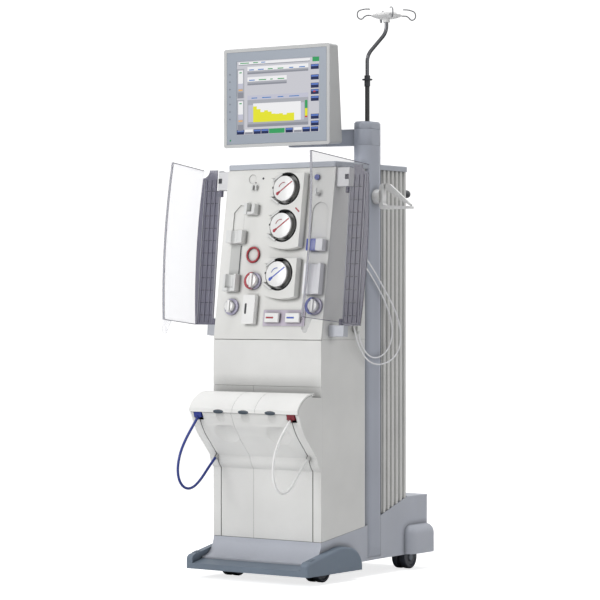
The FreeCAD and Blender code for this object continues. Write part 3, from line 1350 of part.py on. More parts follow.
def make_monitor():
    """Flat monitor, deeper at its foot, drawn about the centre of its screen."""
    shell = new_body("monitor_shell")
    half = "monitor_tall/2"
    profile = outline(shell, "monitor_profile", "YZ_Plane", [
        ("0", f"-({half})"), ("monitor_foot", f"-({half}) + 6"),
        ("monitor_foot - 4", f"-({half}) + 60"),
        ("monitor_head", half), ("0", half),
    ])
    pad(shell, profile, "monitor_wide", middle=True)
    round_edges(shell, "monitor_corners", "monitor_round",
                lambda edge: edge.BoundBox.YMin < 1 and edge.BoundBox.YLength > 20)
    bed = outline(shell, "bezel_bed", "XZ_Plane", rectangle(
        ("-monitor_wide/2 + bezel_edge", f"-({half}) + bezel_edge"),
        ("monitor_wide/2 - bezel_edge", f"{half} - bezel_edge")))
    pocket(shell, bed, "bezel_thick")
    parts = [shell]
    for side, sign in (("left", -1), ("right", 1)):
        inner = "ear_space/2" if sign > 0 else "-ear_space/2 - ear_thick"
        ear = box(f"monitor_ear_{side}", (inner, "monitor_head", "-ear_radius"),
                  ("ear_thick", "neck_reach - monitor_head", "2*ear_radius"))
        eye = cylinder(f"monitor_eye_{side}", (inner, "neck_reach", "0"), "ear_radius",
                       "ear_thick", axis="x")
        parts += [ear, eye]
    parts.append(cylinder("monitor_tilt_pin", ("-ear_space/2 - 2", "neck_reach", "0"),
                          "tilt_pin", "ear_space + 4", axis="x"))
    node("monitor_housing", monitor_placement(fuse("monitor_whole", parts)))

    bezel = new_body("bezel")
    plan = outline(bezel, "bezel_plan", "XZ_Plane", rectangle(
        ("-monitor_wide/2 + bezel_edge + 0.2", f"-({half}) + bezel_edge + 0.2"),
        ("monitor_wide/2 - bezel_edge - 0.2", f"{half} - bezel_edge - 0.2")))
    pad(bezel, plan, "bezel_thick", turned=True)
    window = outline(bezel, "bezel_window", "XZ_Plane", rectangle(
        ("-screen_wide/2 + screen_shift", "-screen_tall/2"),
        ("screen_wide/2 + screen_shift", "screen_tall/2")))
    pocket(bezel, window, "bezel_thick + 1", turned=False)
    node("monitor_bezel", monitor_placement(bezel))
    glass = box("screen_glass", ("-screen_wide/2 + screen_shift + 0.1", "1.2",
                                 "-screen_tall/2 + 0.1"),
                ("screen_wide - 0.2", "bezel_thick - 1.2", "screen_tall - 0.2"))
    node("monitor_screen", monitor_placement(group("screen", [glass])))

    pivot_x = "monitor_side - neck_reach*sin(monitor_turn)"
    pivot_y = "monitor_way + neck_reach*cos(monitor_turn)"
    post = cylinder("neck_shaft", ("0", "0", "column_top - monitor_up + 4"), "10",
                    "ring_top - column_top")
    flange = cylinder("neck_flange", ("0", "0", "ring_top - monitor_up + fit_gap"), "19", "6")
    stalk = cylinder("neck_stalk", ("0", "0", "ring_top - monitor_up + 2"), "neck_post",
                     "monitor_up - ring_top - 10")
    head = cylinder("neck_head", ("-ear_space/2 + fit_gap", "0", "0"), "ear_radius",
                    "ear_space - 2*fit_gap", axis="x")
    eye = cylinder("neck_eye", ("-ear_space/2 - 1", "0", "0"), "tilt_pin + running_gap",
                   "ear_space + 2", axis="x")
    neck = cut("neck_cut", fuse("neck_solid", [post, flange, stalk, head]), [eye])
    neck.Placement = Placement(Vector(), Rotation(Vector(0, 0, 1), value("monitor_turn")))
    bind(neck, Placement__Rotation__Angle="monitor_turn")
    node("monitor_neck", place(neck, pivot_x, pivot_y, "monitor_up"))

    ring = stadium("arm_ring", "0", "column_top + fit_gap", "ring_top - fit_gap")
    bar = new_body("arm_bar")
    plan = outline(bar, "arm_plan", "XY_Plane", [
        ("column_side", "column_way - arm_thick/2 - 6"),
        ("column_side", "column_way + arm_thick/2 - 6"),
        (pivot_x, f"{pivot_y} + arm_thick/2"),
        (pivot_x, f"{pivot_y} - arm_thick/2"),
    ][::-1], "column_top + fit_gap")
    pad(bar, plan, "ring_top - column_top - 2*fit_gap")
    boss = cylinder("arm_boss", (pivot_x, pivot_y, "column_top + fit_gap"), "21",
                    "ring_top - column_top - 2*fit_gap")
    bores = [cylinder("ring_bore", ("column_side", "column_way", "column_top - 1"),
                      "neck_radius + running_gap", "ring_top - column_top + 2"),
             cylinder("boss_bore", (pivot_x, pivot_y, "column_top + 3.5"),
                      "10 + running_gap", "ring_top - column_top")]
    node("monitor_arm", cut("arm_cut", fuse("arm_solid", [ring, bar, boss]), bores))


# Dialyser holder

def make_holder():
    """Dialyser holder: a stub on the column, an open loop and a toothed closing lever."""
    spigot = cylinder("holder_spigot", ("column_side + column_wide/2 - spigot_long",
                                        "column_way", "holder_up"),
                      "spigot_radius", "spigot_long + 4", axis="x")
    stub = cylinder("holder_stub", ("column_side + column_wide/2 + fit_gap", "column_way",
                                    "holder_up"), "stub_radius",
                    "stub_end - column_side - column_wide/2 - fit_gap + 2", axis="x")
    loop = new_body("holder_loop")
    bar = "loop_bar"
    shape = outline(loop, "loop_outline", "XZ_Plane", [
        ("stub_end", "loop_low + 12"),
        ("stub_end + 12", "loop_low", "12.5", "right"),
        ("loop_end", "loop_low"),
        ("loop_end", f"loop_low + {bar}*0.6"),
        (f"stub_end + {bar} + 8", f"loop_low + {bar}"),
        (f"stub_end + {bar}", f"loop_low + {bar} + 8", "8.5", "left"),
        (f"stub_end + {bar}", "loop_high - 18"),
        (f"stub_end + {bar} + 4", "loop_high"),
        ("stub_end + 14", "loop_high"),
        ("stub_end", "loop_high - 14", "14.5", "right"),
    ], "-column_way")
    pad(loop, shape, "loop_thick", middle=True)
    slot = box("holder_slot", ("stub_end + 2", "column_way - 4.3", "loop_high - 14"),
               ("26", "8.6", "20"))
    pivot = cylinder("holder_pivot", ("stub_end + 9", "column_way - loop_thick/2",
                                      "loop_high - 7"), "2.5", "loop_thick", axis="y")
    arm = fuse("holder_arm_whole", [cut("loop_slotted", fuse("holder_solid",
                                                             [spigot, stub, loop]), [slot]),
                                    pivot])
    node("dialyser_holder", arm)

    lever = new_body("holder_lever_body")
    tip_x, tip_z = "loop_end - 2", f"loop_low + {bar}*0.6 + 0.6"
    run, rise = f"({tip_x} - stub_end - 30)", f"({tip_z} - loop_high + 26)"
    teeth = []
    for share in (0.28, 0.47, 0.66):
        for step, out, down in ((0, 0, 0), (0.03, 2.5, 4.4), (0.08, 0, 0)):
            teeth.append((f"stub_end + 30 + {share + step:.2f}*{run} - {out}",
                          f"loop_high - 26 + {share + step:.2f}*{rise} - {down}"))
    shape = outline(lever, "lever_outline", "XZ_Plane", [
        ("stub_end + 11", "loop_high - 11.5"),
        ("stub_end + 30", "loop_high - 26"),
        *teeth,
        (tip_x, tip_z),
        ("loop_end", f"{tip_z} + 5"),
        ("stub_end + 36", "loop_high - 3"),
        ("stub_end + 7", "loop_high - 2", "22", "left"),
    ][::-1], "-column_way")
    pad(lever, shape, "8", middle=True)
    eye = cylinder("lever_eye", ("stub_end + 9", "column_way - 5", "loop_high - 7"),
                   "2.5 + running_gap", "10", axis="y")
    node("holder_lever", cut("lever_cut", lever, [eye]))


# Hoses and lines

def bend_radii(points):
    """Arc radius at each inner point: 0.45 of the shorter run over the tangent of half the turn."""
    radii = []
    for before, corner, after in zip(points, points[1:], points[2:]):
        turn = (corner - before).getAngle(after - corner)
        run = min((corner - before).Length, (after - corner).Length)
        radii.append(0.45 * run / math.tan(turn / 2))
    return radii


def route(across, spots):
    return [Vector(across, along, up) for along, up in spots]


BLUE_ROUTE = route(-180, [(-400, 506), (-430, 474), (-462, 438), (-488, 398), (-500, 354),
                          (-494, 318), (-473, 294), (-443, 285), (-410, 294), (-376, 318),
                          (-344, 348), (-310, 376)])
WHITE_ROUTE = route(180, [(-402, 506), (-430, 478), (-459, 447), (-481, 409), (-491, 367),
                          (-487, 326), (-466, 293), (-431, 284), (-398, 300), (-371, 328),
                          (-343, 356), (-311, 384)])
OUTER_LINE = [Vector(*spot) for spot in (
    (235, -100, 1026), (236, -70, 1001), (237, -26, 962), (238, 22, 911), (238, 70, 862),
    (238, 108, 808), (238, 121, 757), (238, 108, 712), (238, 70, 684), (237, 24, 671),
    (237, -24, 670), (236, -68, 684), (236, -104, 716), (235, -128, 754), (235, -138, 786))]
INNER_LINE = [Vector(*spot) for spot in (
    (223, -76, 994), (223, -44, 966), (224, -4, 928), (225, 40, 880), (225, 76, 828),
    (225, 92, 776), (225, 80, 732), (225, 46, 702), (224, 2, 689), (224, -44, 697),
    (223, -80, 728), (223, -98, 768))]
HOSE_STARTS = {"left": BLUE_ROUTE[:2], "right": WHITE_ROUTE[:2]}
HOSE_ENDS = {"left": BLUE_ROUTE[-2:], "right": WHITE_ROUTE[-2:]}
LINE_ENDS = [(line[end], line[after]) for line in (OUTER_LINE, INNER_LINE)
             for end, after in ((0, 1), (-1, -2))]


def make_cord(name, points, radius):
    """Hose as straight runs and tangent arcs, with its radii and volume checked."""
    radii = bend_radii(points)
    path = tangent_path(points, radii)
    item = doc.addObject("Part::Feature", name + "_tube")
    item.Shape = swept(path, radius)
    expected = math.pi * radius ** 2 * path.Length
    print(name, "length", round(path.Length, 1), "radii", [round(r) for r in radii],
          "volume ratio", round(item.Shape.Volume / expected, 4))
    node(name, item)


def make_cords():
    make_cord("blue_hose", BLUE_ROUTE, value("blue_hose_radius"))
    make_cord("white_hose", WHITE_ROUTE, value("white_hose_radius"))
    make_cord("outer_line", OUTER_LINE, value("line_radius"))
    make_cord("inner_line", INNER_LINE, value("line_radius"))


def check_and_write():
    doc.recompute()
    for item in doc.Objects:
        if "Invalid" in item.State or "Error" in item.State:
            raise ValueError(f"{item.Name} failed: {item.State}")
    for name, item in pieces.items():
        if item.Shape.isNull() or not item.Shape.isValid():
            raise ValueError(f"{name} has no valid shape")
    for name, item in pieces.items():
        item.Shape.exportStep(f"parts/{name}.step")
    print(len(pieces), "nodes,", sum(len(item.Shape.Solids) for item in pieces.values()),
          "solids")


make_base()
make_bumper()
make_casters()
make_side_panels()
make_front_panels()
make_flaps()
make_connectors()
make_module()
make_pumps()
make_line_clips()
make_chamber_holder()
make_slot_unit()
make_controls()
make_door("left")
make_door("right")
make_hinge_blocks()
make_column()
make_covers()
make_handle()
make_rear_connections()
make_inner_units()
make_pole()
make_monitor()
make_holder()
make_cords()
check_and_write()
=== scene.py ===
# %% [markdown]
# A dialysis machine, dressed for its portrait.
# The solids come in already in their places: cabinet, doors, pumps, monitor, pole and casters.
# This lesson gives them their finishes and adds what is too fine or too soft for solids.

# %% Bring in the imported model
import bmesh
import bpy
import json
import math
from mathutils import Matrix, Vector


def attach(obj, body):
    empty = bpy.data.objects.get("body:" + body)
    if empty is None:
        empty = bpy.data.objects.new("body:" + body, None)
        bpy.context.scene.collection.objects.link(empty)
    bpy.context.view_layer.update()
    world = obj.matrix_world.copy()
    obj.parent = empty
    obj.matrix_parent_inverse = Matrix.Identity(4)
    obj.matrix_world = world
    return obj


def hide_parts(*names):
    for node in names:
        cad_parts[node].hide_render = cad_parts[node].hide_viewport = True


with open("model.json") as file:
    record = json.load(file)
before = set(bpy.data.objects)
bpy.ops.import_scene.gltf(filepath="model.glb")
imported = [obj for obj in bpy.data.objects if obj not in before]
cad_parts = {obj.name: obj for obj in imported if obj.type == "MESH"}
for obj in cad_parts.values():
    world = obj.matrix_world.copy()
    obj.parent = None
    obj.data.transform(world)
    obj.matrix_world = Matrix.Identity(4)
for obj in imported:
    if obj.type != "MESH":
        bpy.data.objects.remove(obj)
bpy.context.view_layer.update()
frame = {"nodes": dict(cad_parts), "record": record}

nodes = frame["nodes"]
record = frame["record"]
joints = record["behaviour"]["joints"]
print("solids loaded:", len(nodes))

# %% [markdown]
# The camera stands to the machine's right front, level with the flaps of the hood.
# Its place, turn and focal length were worked out from the edges of the cabinet, so that the
# machine fills the picture as it does in the photograph.

# %% Camera
camera_data = bpy.data.cameras.new("studio_camera")
camera_data.sensor_width = 36
camera_data.lens = 144.53
camera_data.clip_end = 60
camera = bpy.data.objects.new("studio_camera", camera_data)
camera.location = (4.4981, -6.3127, 0.8622)
camera.rotation_euler = (math.radians(90.088), 0, math.radians(35.915))
bpy.context.scene.collection.objects.link(camera)
bpy.context.scene.camera = camera
bpy.context.scene.view_settings.view_transform = "Standard"
print("camera looks from", tuple(camera.location))

# %% [markdown]
# Every finish is a small tree of shader nodes. Most of them need the same few parts: a colour
# from the screen's scale, noise over the piece, a value spread over a range, a ramp of colours
# and a bump.

# %% Parts of the finishes
def linear(colour):
    """Screen colour of 0 to 255 as the light the shader wants."""
    return [(c / 255 / 12.92) if c <= 10 else ((c / 255 + 0.055) / 1.055) ** 2.4
            for c in colour] + [1]


def tinted(light, factor):
    """A light made brighter or darker by a factor."""
    return [min(c * factor, 1) for c in light[:3]] + [1]


def new_material(name):
    """An empty material with its node tree and its output ready to use."""
    material = bpy.data.materials.new(name)
    material.use_nodes = True
    tree = material.node_tree
    tree.nodes.clear()
    output = tree.nodes.new("ShaderNodeOutputMaterial")
    return material, tree, output


def new_surface(name):
    """A material with a shader on its output, and the piece's own coordinates."""
    material, tree, output = new_material(name)
    shader = tree.nodes.new("ShaderNodeBsdfPrincipled")
    tree.links.new(shader.outputs[0], output.inputs["Surface"])
    place = tree.nodes.new("ShaderNodeTexCoord").outputs["Object"]
    return material, tree, shader, place


def noise(tree, place, scale, detail=2):
    """Noise over a place, as a value of 0 to 1."""
    made = tree.nodes.new("ShaderNodeTexNoise")
    made.inputs["Scale"].default_value = scale
    made.inputs["Detail"].default_value = detail
    tree.links.new(place, made.inputs["Vector"])
    return made.outputs["Fac"]


def spread(tree, value, low, high):
    """A value of 0 to 1 spread over the range from low to high."""
    made = tree.nodes.new("ShaderNodeMapRange")
    made.inputs["To Min"].default_value = low
    made.inputs["To Max"].default_value = high
    tree.links.new(value, made.inputs["Value"])
    return made.outputs["Result"]


def ramp(tree, value, *stops):
    """A colour that follows a value; each of the two stops is a position and a colour."""
    made = tree.nodes.new("ShaderNodeValToRGB")
    for element, (position, colour) in zip(made.color_ramp.elements, stops):
        element.position = position
        element.color = colour
    tree.links.new(value, made.inputs["Fac"])
    return made.outputs["Color"]


def relief(tree, height, strength, distance):
    """A bump whose height follows a value."""
    made = tree.nodes.new("ShaderNodeBump")
    made.inputs["Strength"].default_value = strength
    made.inputs["Distance"].default_value = distance
    tree.links.new(height, made.inputs["Height"])
    return made.outputs["Normal"]


print("helpers ready")

# %% [markdown]
# The studio is white all round. The floor takes soft shadows, and glows a little towards the
# camera so that it stays as pale as the backdrop. The backdrop itself gives little light: only
# the camera, clear pieces and mirrored views meet it at full strength.

# %% Floor and backdrop
floor_reach = 9
floor_glow = 0.76
backdrop_as_light, backdrop_as_seen = 0.27, 1.15


def link_mesh(name, bm):
    """Turn a finished bmesh into an object of the scene."""
    mesh = bpy.data.meshes.new(name)
    bm.normal_update()
    bm.to_mesh(mesh)
    bm.free()
    made = bpy.data.objects.new(name, mesh)
    bpy.context.scene.collection.objects.link(made)
    return made


def studio_floor_material():
    """White paint that also glows, for the camera alone."""
    material, tree, output = new_material("studio_floor")
    paint = tree.nodes.new("ShaderNodeBsdfDiffuse")
    paint.inputs["Color"].default_value = (0.92, 0.92, 0.92, 1)
    rays = tree.nodes.new("ShaderNodeLightPath")
    level = tree.nodes.new("ShaderNodeMath")
    level.operation = "MULTIPLY"
    level.inputs[1].default_value = floor_glow
    tree.links.new(rays.outputs["Is Camera Ray"], level.inputs[0])
    glow = tree.nodes.new("ShaderNodeEmission")
    tree.links.new(level.outputs[0], glow.inputs["Strength"])
    both = tree.nodes.new("ShaderNodeAddShader")
    tree.links.new(paint.outputs[0], both.inputs[0])
    tree.links.new(glow.outputs[0], both.inputs[1])
    tree.links.new(both.outputs[0], output.inputs["Surface"])
    return material


def studio_world():
    """A white world, dim as a light and bright where it is seen."""
    world = bpy.data.worlds.new("studio_world")
    world.use_nodes = True
    sky = world.node_tree
    sky.nodes.clear()
    rays = sky.nodes.new("ShaderNodeLightPath")
    seen = rays.outputs["Is Camera Ray"]
    for kind in ("Is Transmission Ray", "Is Glossy Ray"):
        either = sky.nodes.new("ShaderNodeMath")
        either.operation = "MAXIMUM"
        sky.links.new(seen, either.inputs[0])
        sky.links.new(rays.outputs[kind], either.inputs[1])
        seen = either.outputs[0]
    strength = spread(sky, seen, backdrop_as_light, backdrop_as_seen)
    backdrop = sky.nodes.new("ShaderNodeBackground")
    backdrop.inputs["Color"].default_value = (1, 1, 1, 1)
    sky.links.new(strength, backdrop.inputs["Strength"])
    output = sky.nodes.new("ShaderNodeOutputWorld")
    sky.links.new(backdrop.outputs[0], output.inputs["Surface"])
    return world


bm = bmesh.new()
bmesh.ops.create_grid(bm, x_segments=4, y_segments=4, size=floor_reach)
floor = link_mesh("studio_floor", bm)
floor.data.materials.append(studio_floor_material())
bpy.context.scene.world = studio_world()
print("floor reaches", floor.dimensions.x / 2, "m each way")

# %% [markdown]
# Three large soft lamps do the rest. One stands at the user's left, ahead of the machine, and
# makes the front brighter than the side; one hangs overhead for the tops; a faint one at the
# right keeps the shaded side readable.

# %% Lamps
def soft_lamp(name, place, aim, width, power):
    """A square lamp at a place, turned towards its aim."""
    lamp_data = bpy.data.lights.new(name, "AREA")
    lamp_data.shape = "SQUARE"
    lamp_data.size = width
    lamp_data.energy = power
    lamp = bpy.data.objects.new(name, lamp_data)
    lamp.location = place
    lamp.rotation_euler = (Vector(aim) - Vector(place)).to_track_quat("-Z", "Y").to_euler()
    bpy.context.scene.collection.objects.link(lamp)


soft_lamp("front_lamp", (-1.6, -4.6, 2.4), (0, 0, 0.9), 2.2, 94)
soft_lamp("overhead_lamp", (0.3, 0.2, 4.4), (0, 0, 0), 2.6, 98)
soft_lamp("side_lamp", (4.6, -0.6, 1.6), (0, 0, 0.9), 2.4, 9)

# %% [markdown]
# Most of the machine is sprayed sheet or moulded plastic. One recipe serves both: a base colour
# that varies a little over the piece, painted shade that darkens it in nooks and where parts
# meet, and a bump whose scale tells paint from plastic.

# %% Paint and plastic finishes
def coated(name, colour, roughness=0.45, grain=700, bump=0.05, shade=0.05, coat=0.0,
           painted_shade_reach=0.02, shine=0.5):
    """A coated or moulded surface with fine grain, slight tonal drift and painted shade in nooks.
    """
    material, tree, shader, place = new_surface(name)
    drift = noise(tree, place, 5, 4)
    paint = linear(colour)
    tones = ramp(tree, drift, (0.3, tinted(paint, 1 - shade)), (0.7, tinted(paint, 1 + shade)))
    # painted shade: an occlusion node darkens the base colour near other surfaces
    corner = tree.nodes.new("ShaderNodeAmbientOcclusion")
    corner.samples = 6
    corner.inputs["Distance"].default_value = painted_shade_reach
    tree.links.new(tones, corner.inputs["Color"])
    tree.links.new(corner.outputs["Color"], shader.inputs["Base Color"])
    grained = relief(tree, noise(tree, place, grain), bump, 0.0004)
    tree.links.new(grained, shader.inputs["Normal"])
    gloss = spread(tree, drift, max(roughness - 0.06, 0.04), roughness + 0.06)
    tree.links.new(gloss, shader.inputs["Roughness"])
    shader.inputs["Specular IOR Level"].default_value = shine
    shader.inputs["Coat Weight"].default_value = coat
    shader.inputs["Coat Roughness"].default_value = 0.15
    return material


finishes = {
    "panel_white": coated("panel_enamel", (233, 233, 231), 0.5, 420, 0.06, painted_shade_reach=0.032),
    "face_white": coated("face_plastic", (228, 228, 225), 0.42, 900, 0.05, painted_shade_reach=0.011),
    "fitting_white": coated("fitting_plastic", (241, 241, 240), 0.25, 900, 0.02, coat=0.3,
                            painted_shade_reach=0.007),
    "fitting_grey": coated("fitting_grey_plastic", (222, 223, 222), 0.35, 900, 0.03,
                           painted_shade_reach=0.01),
    "fitting_blue": coated("chamber_plastic", (236, 236, 240), 0.3, 900, 0.03, painted_shade_reach=0.01),
    "cover_grey": coated("cover_plastic", (186, 191, 200), 0.4, 1000, 0.08),
    "base_grey": coated("base_plastic", (192, 196, 206), 0.5, 1000, 0.12),
    "column_grey": coated("column_enamel", (179, 184, 196), 0.4, 500, 0.05),
    "bumper_blue": coated("bumper_plastic", (114, 127, 142), 0.5, 800, 0.2, 0.08),
    "dark_plastic": coated("dark_plastic", (40, 43, 50), 0.4, 900, 0.08),
    "dark_rubber": coated("race_plastic", (12, 12, 14), 0.5, 900, 0.05, shine=0.12),
    "wheel_dark": coated("wheel_plastic", (60, 64, 74), 0.38, 900, 0.08),
    "monitor_grey": coated("monitor_plastic", (197, 198, 198), 0.42, 1000, 0.1),
    "bezel_blue": coated("bezel_film", (150, 159, 172), 0.35, 1400, 0.04, 0.03),
    "connector_blue": coated("blue_plastic", (34, 56, 150), 0.25, 900, 0.02, coat=0.3),
    "clamp_red": coated("red_plastic", (168, 30, 48), 0.25, 900, 0.02, coat=0.3),
    "hose_blue": coated("blue_hose_rubber", (42, 60, 140), 0.4, 900, 0.05),
    "hose_white": coated("white_hose_rubber", (250, 250, 250), 0.4, 900, 0.05),
    "holder_white": coated("holder_plastic", (252, 252, 251), 0.3, 900, 0.02, coat=0.3),
    # The hood's enamel has painted shade that reaches further, to darken its bowls and scoops.
    "hood_white": coated("hood_enamel", (235, 235, 233), 0.5, 420, 0.06, painted_shade_reach=0.07),
    "flap_white": coated("flap_enamel", (247, 247, 245), 0.4, 420, 0.05),
}
print("paints and plastics:", len(finishes))

# %% [markdown]
# Metal shows its making: the pole is drawn tube, so its grain runs along it. Its colour darkens
# towards its rims as a painted reflection.

# %% Metal
def drawn_metal(name, colour, roughness, painted_rim_reflection):
    """Drawn metal whose colour darkens towards its rims, a painted reflection."""
    material, tree, shader, place = new_surface(name)
    stretch = tree.nodes.new("ShaderNodeMapping")
    stretch.inputs["Scale"].default_value = (1, 1, 0.02)
    tree.links.new(place, stretch.inputs["Vector"])
    streaks = noise(tree, stretch.outputs["Vector"], 900)
    gloss = spread(tree, streaks, roughness * 0.7, roughness * 1.3)
    tree.links.new(gloss, shader.inputs["Roughness"])
    # painted reflection: the base colour darkens as the surface turns away from the camera
    edge = tree.nodes.new("ShaderNodeLayerWeight")
    edge.inputs["Blend"].default_value = 0.5
    tones = ramp(tree, edge.outputs["Facing"], (0.2, linear(colour)),
                 (0.6, linear([c * painted_rim_reflection for c in colour])))
    tree.links.new(tones, shader.inputs["Base Color"])
    shader.inputs["Metallic"].default_value = 1
    return material


metals = {
    "steel": drawn_metal("drawn_steel", (92, 93, 96), 0.16, 0.1),
    "inner_metal": drawn_metal("inner_aluminium", (170, 172, 176), 0.45, 0.9),
}
finishes.update(metals)
print("metals:", len(metals))

# %% [markdown]
# The doors are clear and smoked acrylic. A sheet this thin bends light very little, so a
# surface that is partly see-through looks right and stays free of noise.

# %% Clear plastics
def clear_sheet(name, colour, cover, roughness=0.06, glow=0.0):
    """Acrylic that covers what is behind it by a share and lets lamplight through by the glow."""
    material, tree, output = new_material(name)
    shader = tree.nodes.new("ShaderNodeBsdfPrincipled")
    shader.inputs["Base Color"].default_value = linear(colour)
    shader.inputs["Roughness"].default_value = roughness
    shader.inputs["Alpha"].default_value = cover
    shader.inputs["Specular IOR Level"].default_value = 0.6
    place = tree.nodes.new("ShaderNodeTexCoord").outputs["Object"]
    waved = relief(tree, noise(tree, place, 6), 0.04, 0.002)
    tree.links.new(waved, shader.inputs["Normal"])
    through = tree.nodes.new("ShaderNodeBsdfTranslucent")
    through.inputs["Color"].default_value = linear(colour)
    share = tree.nodes.new("ShaderNodeMixShader")
    share.inputs["Fac"].default_value = glow
    tree.links.new(shader.outputs[0], share.inputs[1])
    tree.links.new(through.outputs[0], share.inputs[2])
    tree.links.new(share.outputs[0], output.inputs["Surface"])
    return material


clears = {
    "pane_milky": clear_sheet("milky_acrylic", (250, 250, 252), 0.16, 0.12, 0.5),
    "pane_clear": clear_sheet("clear_acrylic", (104, 104, 122), 0.15),
    "band_smoke": clear_sheet("smoked_acrylic", (112, 111, 130), 0.94, 0.25),
    "band_dark": clear_sheet("dark_smoked_acrylic", (86, 83, 100), 0.96, 0.25),
    "line_clear": clear_sheet("clear_line", (250, 250, 252), 0.96, 0.2, 0.25),
    "screen_glass": clear_sheet("screen_glass", (40, 42, 46), 1.0, 0.08),
}
finishes.update(clears)
print("clear plastics:", len(clears))

# %% [markdown]
# Four nodes hold mouldings of two colours: the hose connectors are blue and dark red, the
# hinge blocks grey below and white above, the cap is painted while the tube in it is dark, and
# the hook hub is white with steel wires. Their finish changes colour at a plane, or at a
# distance from a centre, that lies between the mouldings.

# %% Finishes of two colours
def two_tone(name, axis, limit, below, above, centre=None):
    """Moulded plastic in one colour below a limit along an axis, or near a centre, and
    another beyond it."""
    material, tree, shader, place = new_surface(name)
    if centre:
        away = tree.nodes.new("ShaderNodeVectorMath")
        away.operation = "DISTANCE"
        away.inputs[1].default_value = centre
        tree.links.new(place, away.inputs[0])
        measure = away.outputs["Value"]
    else:
        split = tree.nodes.new("ShaderNodeSeparateXYZ")
        tree.links.new(place, split.inputs[0])
        measure = split.outputs[axis]
    side = tree.nodes.new("ShaderNodeMath")
    side.operation = "GREATER_THAN"
    side.inputs[1].default_value = limit
    tree.links.new(measure, side.inputs[0])
    paint = tree.nodes.new("ShaderNodeMix")
    paint.data_type = "RGBA"
    paint.inputs["A"].default_value = linear(below)
    paint.inputs["B"].default_value = linear(above)
    tree.links.new(side.outputs[0], paint.inputs["Factor"])
    tree.links.new(paint.outputs["Result"], shader.inputs["Base Color"])
    gloss = spread(tree, noise(tree, place, 900), 0.24, 0.36)
    tree.links.new(gloss, shader.inputs["Roughness"])
    return material


pairs = {
    "connector_pair": two_tone("connector_plastic", "X", 0, (30, 50, 140), (128, 26, 42)),
    "hinge_set": two_tone("hinge_plastic", "Z", 1.0, (192, 195, 203), (228, 228, 230)),
    "cap_set": two_tone("cap_enamel", "Z", 1.4386, (179, 184, 196), (26, 27, 30)),
    "hub_set": two_tone("hub_plastic", None, 0.0495, (236, 236, 236), (112, 114, 118),
                        centre=(0.232, 0.045, 1.775)),
}
finishes.update(pairs)
print("finishes of two colours:", len(pairs))

# %% [markdown]
# A solid wears the finish of its material slot, unless it has one of its own.

# %% Put the finishes on the solids
slot_of = {entry["node"]: entry["material_slot"] for entry in record["subparts"]}
own_finish = {
    "hose_connectors": "connector_pair", "door_hinge_blocks": "hinge_set",
    "column_cap": "cap_set", "hook_hub": "hub_set", "door_right_wall": "band_dark",
    "dialyser_holder": "holder_white", "front_panels": "hood_white",
    "hood_flap_left": "flap_white", "hood_flap_middle": "flap_white",
    "hood_flap_right": "flap_white",
}
for name, solid in nodes.items():
    solid.data.materials.clear()
    solid.data.materials.append(finishes[own_finish.get(name, slot_of[name])])
print("dressed", len(nodes), "solids")

# %% [markdown]
# Moulded and bent edges are never knife sharp. A weld joins the triangles of a solid and a
# narrow bevel then breaks its sharp edges, so that they catch the light.

# %% Break the sharp edges
softened = {
    0.0008: ["lower_side_panels", "module_face", "top_cover", "monitor_bezel",
             "rear_shelf_lid"],
    0.0014: ["hood_flap_left", "hood_flap_middle", "hood_flap_right", "front_panels"],
    0.0012: ["column", "column_cap", "monitor_arm", "door_hinge_blocks", "slot_unit",
             "inner_units"],
}


def soften(solid, width):
    """Weld a solid's triangles and bevel its sharp edges."""
    weld = solid.modifiers.new("weld", "WELD")
    weld.merge_threshold = 0.00001
    edge = solid.modifiers.new("edge", "BEVEL")
    edge.width = width
    edge.segments = 2
    edge.limit_method = "ANGLE"
    edge.angle_limit = math.radians(50)


for width, names in softened.items():
    for name in names:
        soften(nodes[name], width)
print("edges broken on", sum(len(names) for names in softened.values()), "solids")

# %% [markdown]
# Fine details are drawn where they sit: on the leaning module face, on a door or on the
# screen. Each of these has its own place in space, and a detail is given in millimetres
# across, outward and up from there.

# %% Places of the details
face_lean, door_lean, screen_turn = -8.44, -5.3, 2.8
hinge_at = {joint["name"]: Vector(joint["pos_m"]) for joint in joints if "pos_m" in joint}


def turned(degrees, axis):
    """A turn about an axis."""
    return Matrix.Rotation(math.radians(degrees), 4, axis)


upright = Matrix.Scale(0.001, 4)
face_place = Matrix.Translation((0, -0.281, 0.751)) @ turned(face_lean, "X") @ upright
screen_place = (Matrix.Translation((-0.043, -0.1725, 1.5196)) @ turned(screen_turn, "Z")
                @ upright)


def door_place(side, turn):
    """Space of a door, with its origin at the foot of the leaning hinge."""
    return (Matrix.Translation(hinge_at[f"{side}_door_hinge"]) @ turned(door_lean, "X")
            @ turned(turn, "Z") @ upright)


print("hinges found:", len(hinge_at))

# %% [markdown]
# A detail is made of simple parts: boxes and discs with rounded rims, and wires bent into a
# ring. Each part is written as its builder, followed by its measures.

# %% Builders of the details
def round_edges(bm, edges, width):
    """Round the given edges of a part."""
    bmesh.ops.bevel(bm, geom=edges, offset=width, offset_type="OFFSET", affect="EDGES",
                    segments=3, profile=0.5, material=-1)


def edges_of(corners):
    """The edges that meet at the corners, each of them once."""
    return list(dict.fromkeys(edge for corner in corners for edge in corner.link_edges))


def block(bm, low, high, bevel=0.0):
    """A box between two corners, its edges rounded by the bevel."""
    corners = bmesh.ops.create_cube(bm, size=1)["verts"]
    bmesh.ops.scale(bm, vec=[b - a for a, b in zip(low, high)], verts=corners)
    bmesh.ops.translate(bm, vec=[(a + b) / 2 for a, b in zip(low, high)], verts=corners)
    if bevel:
        round_edges(bm, edges_of(corners), bevel)


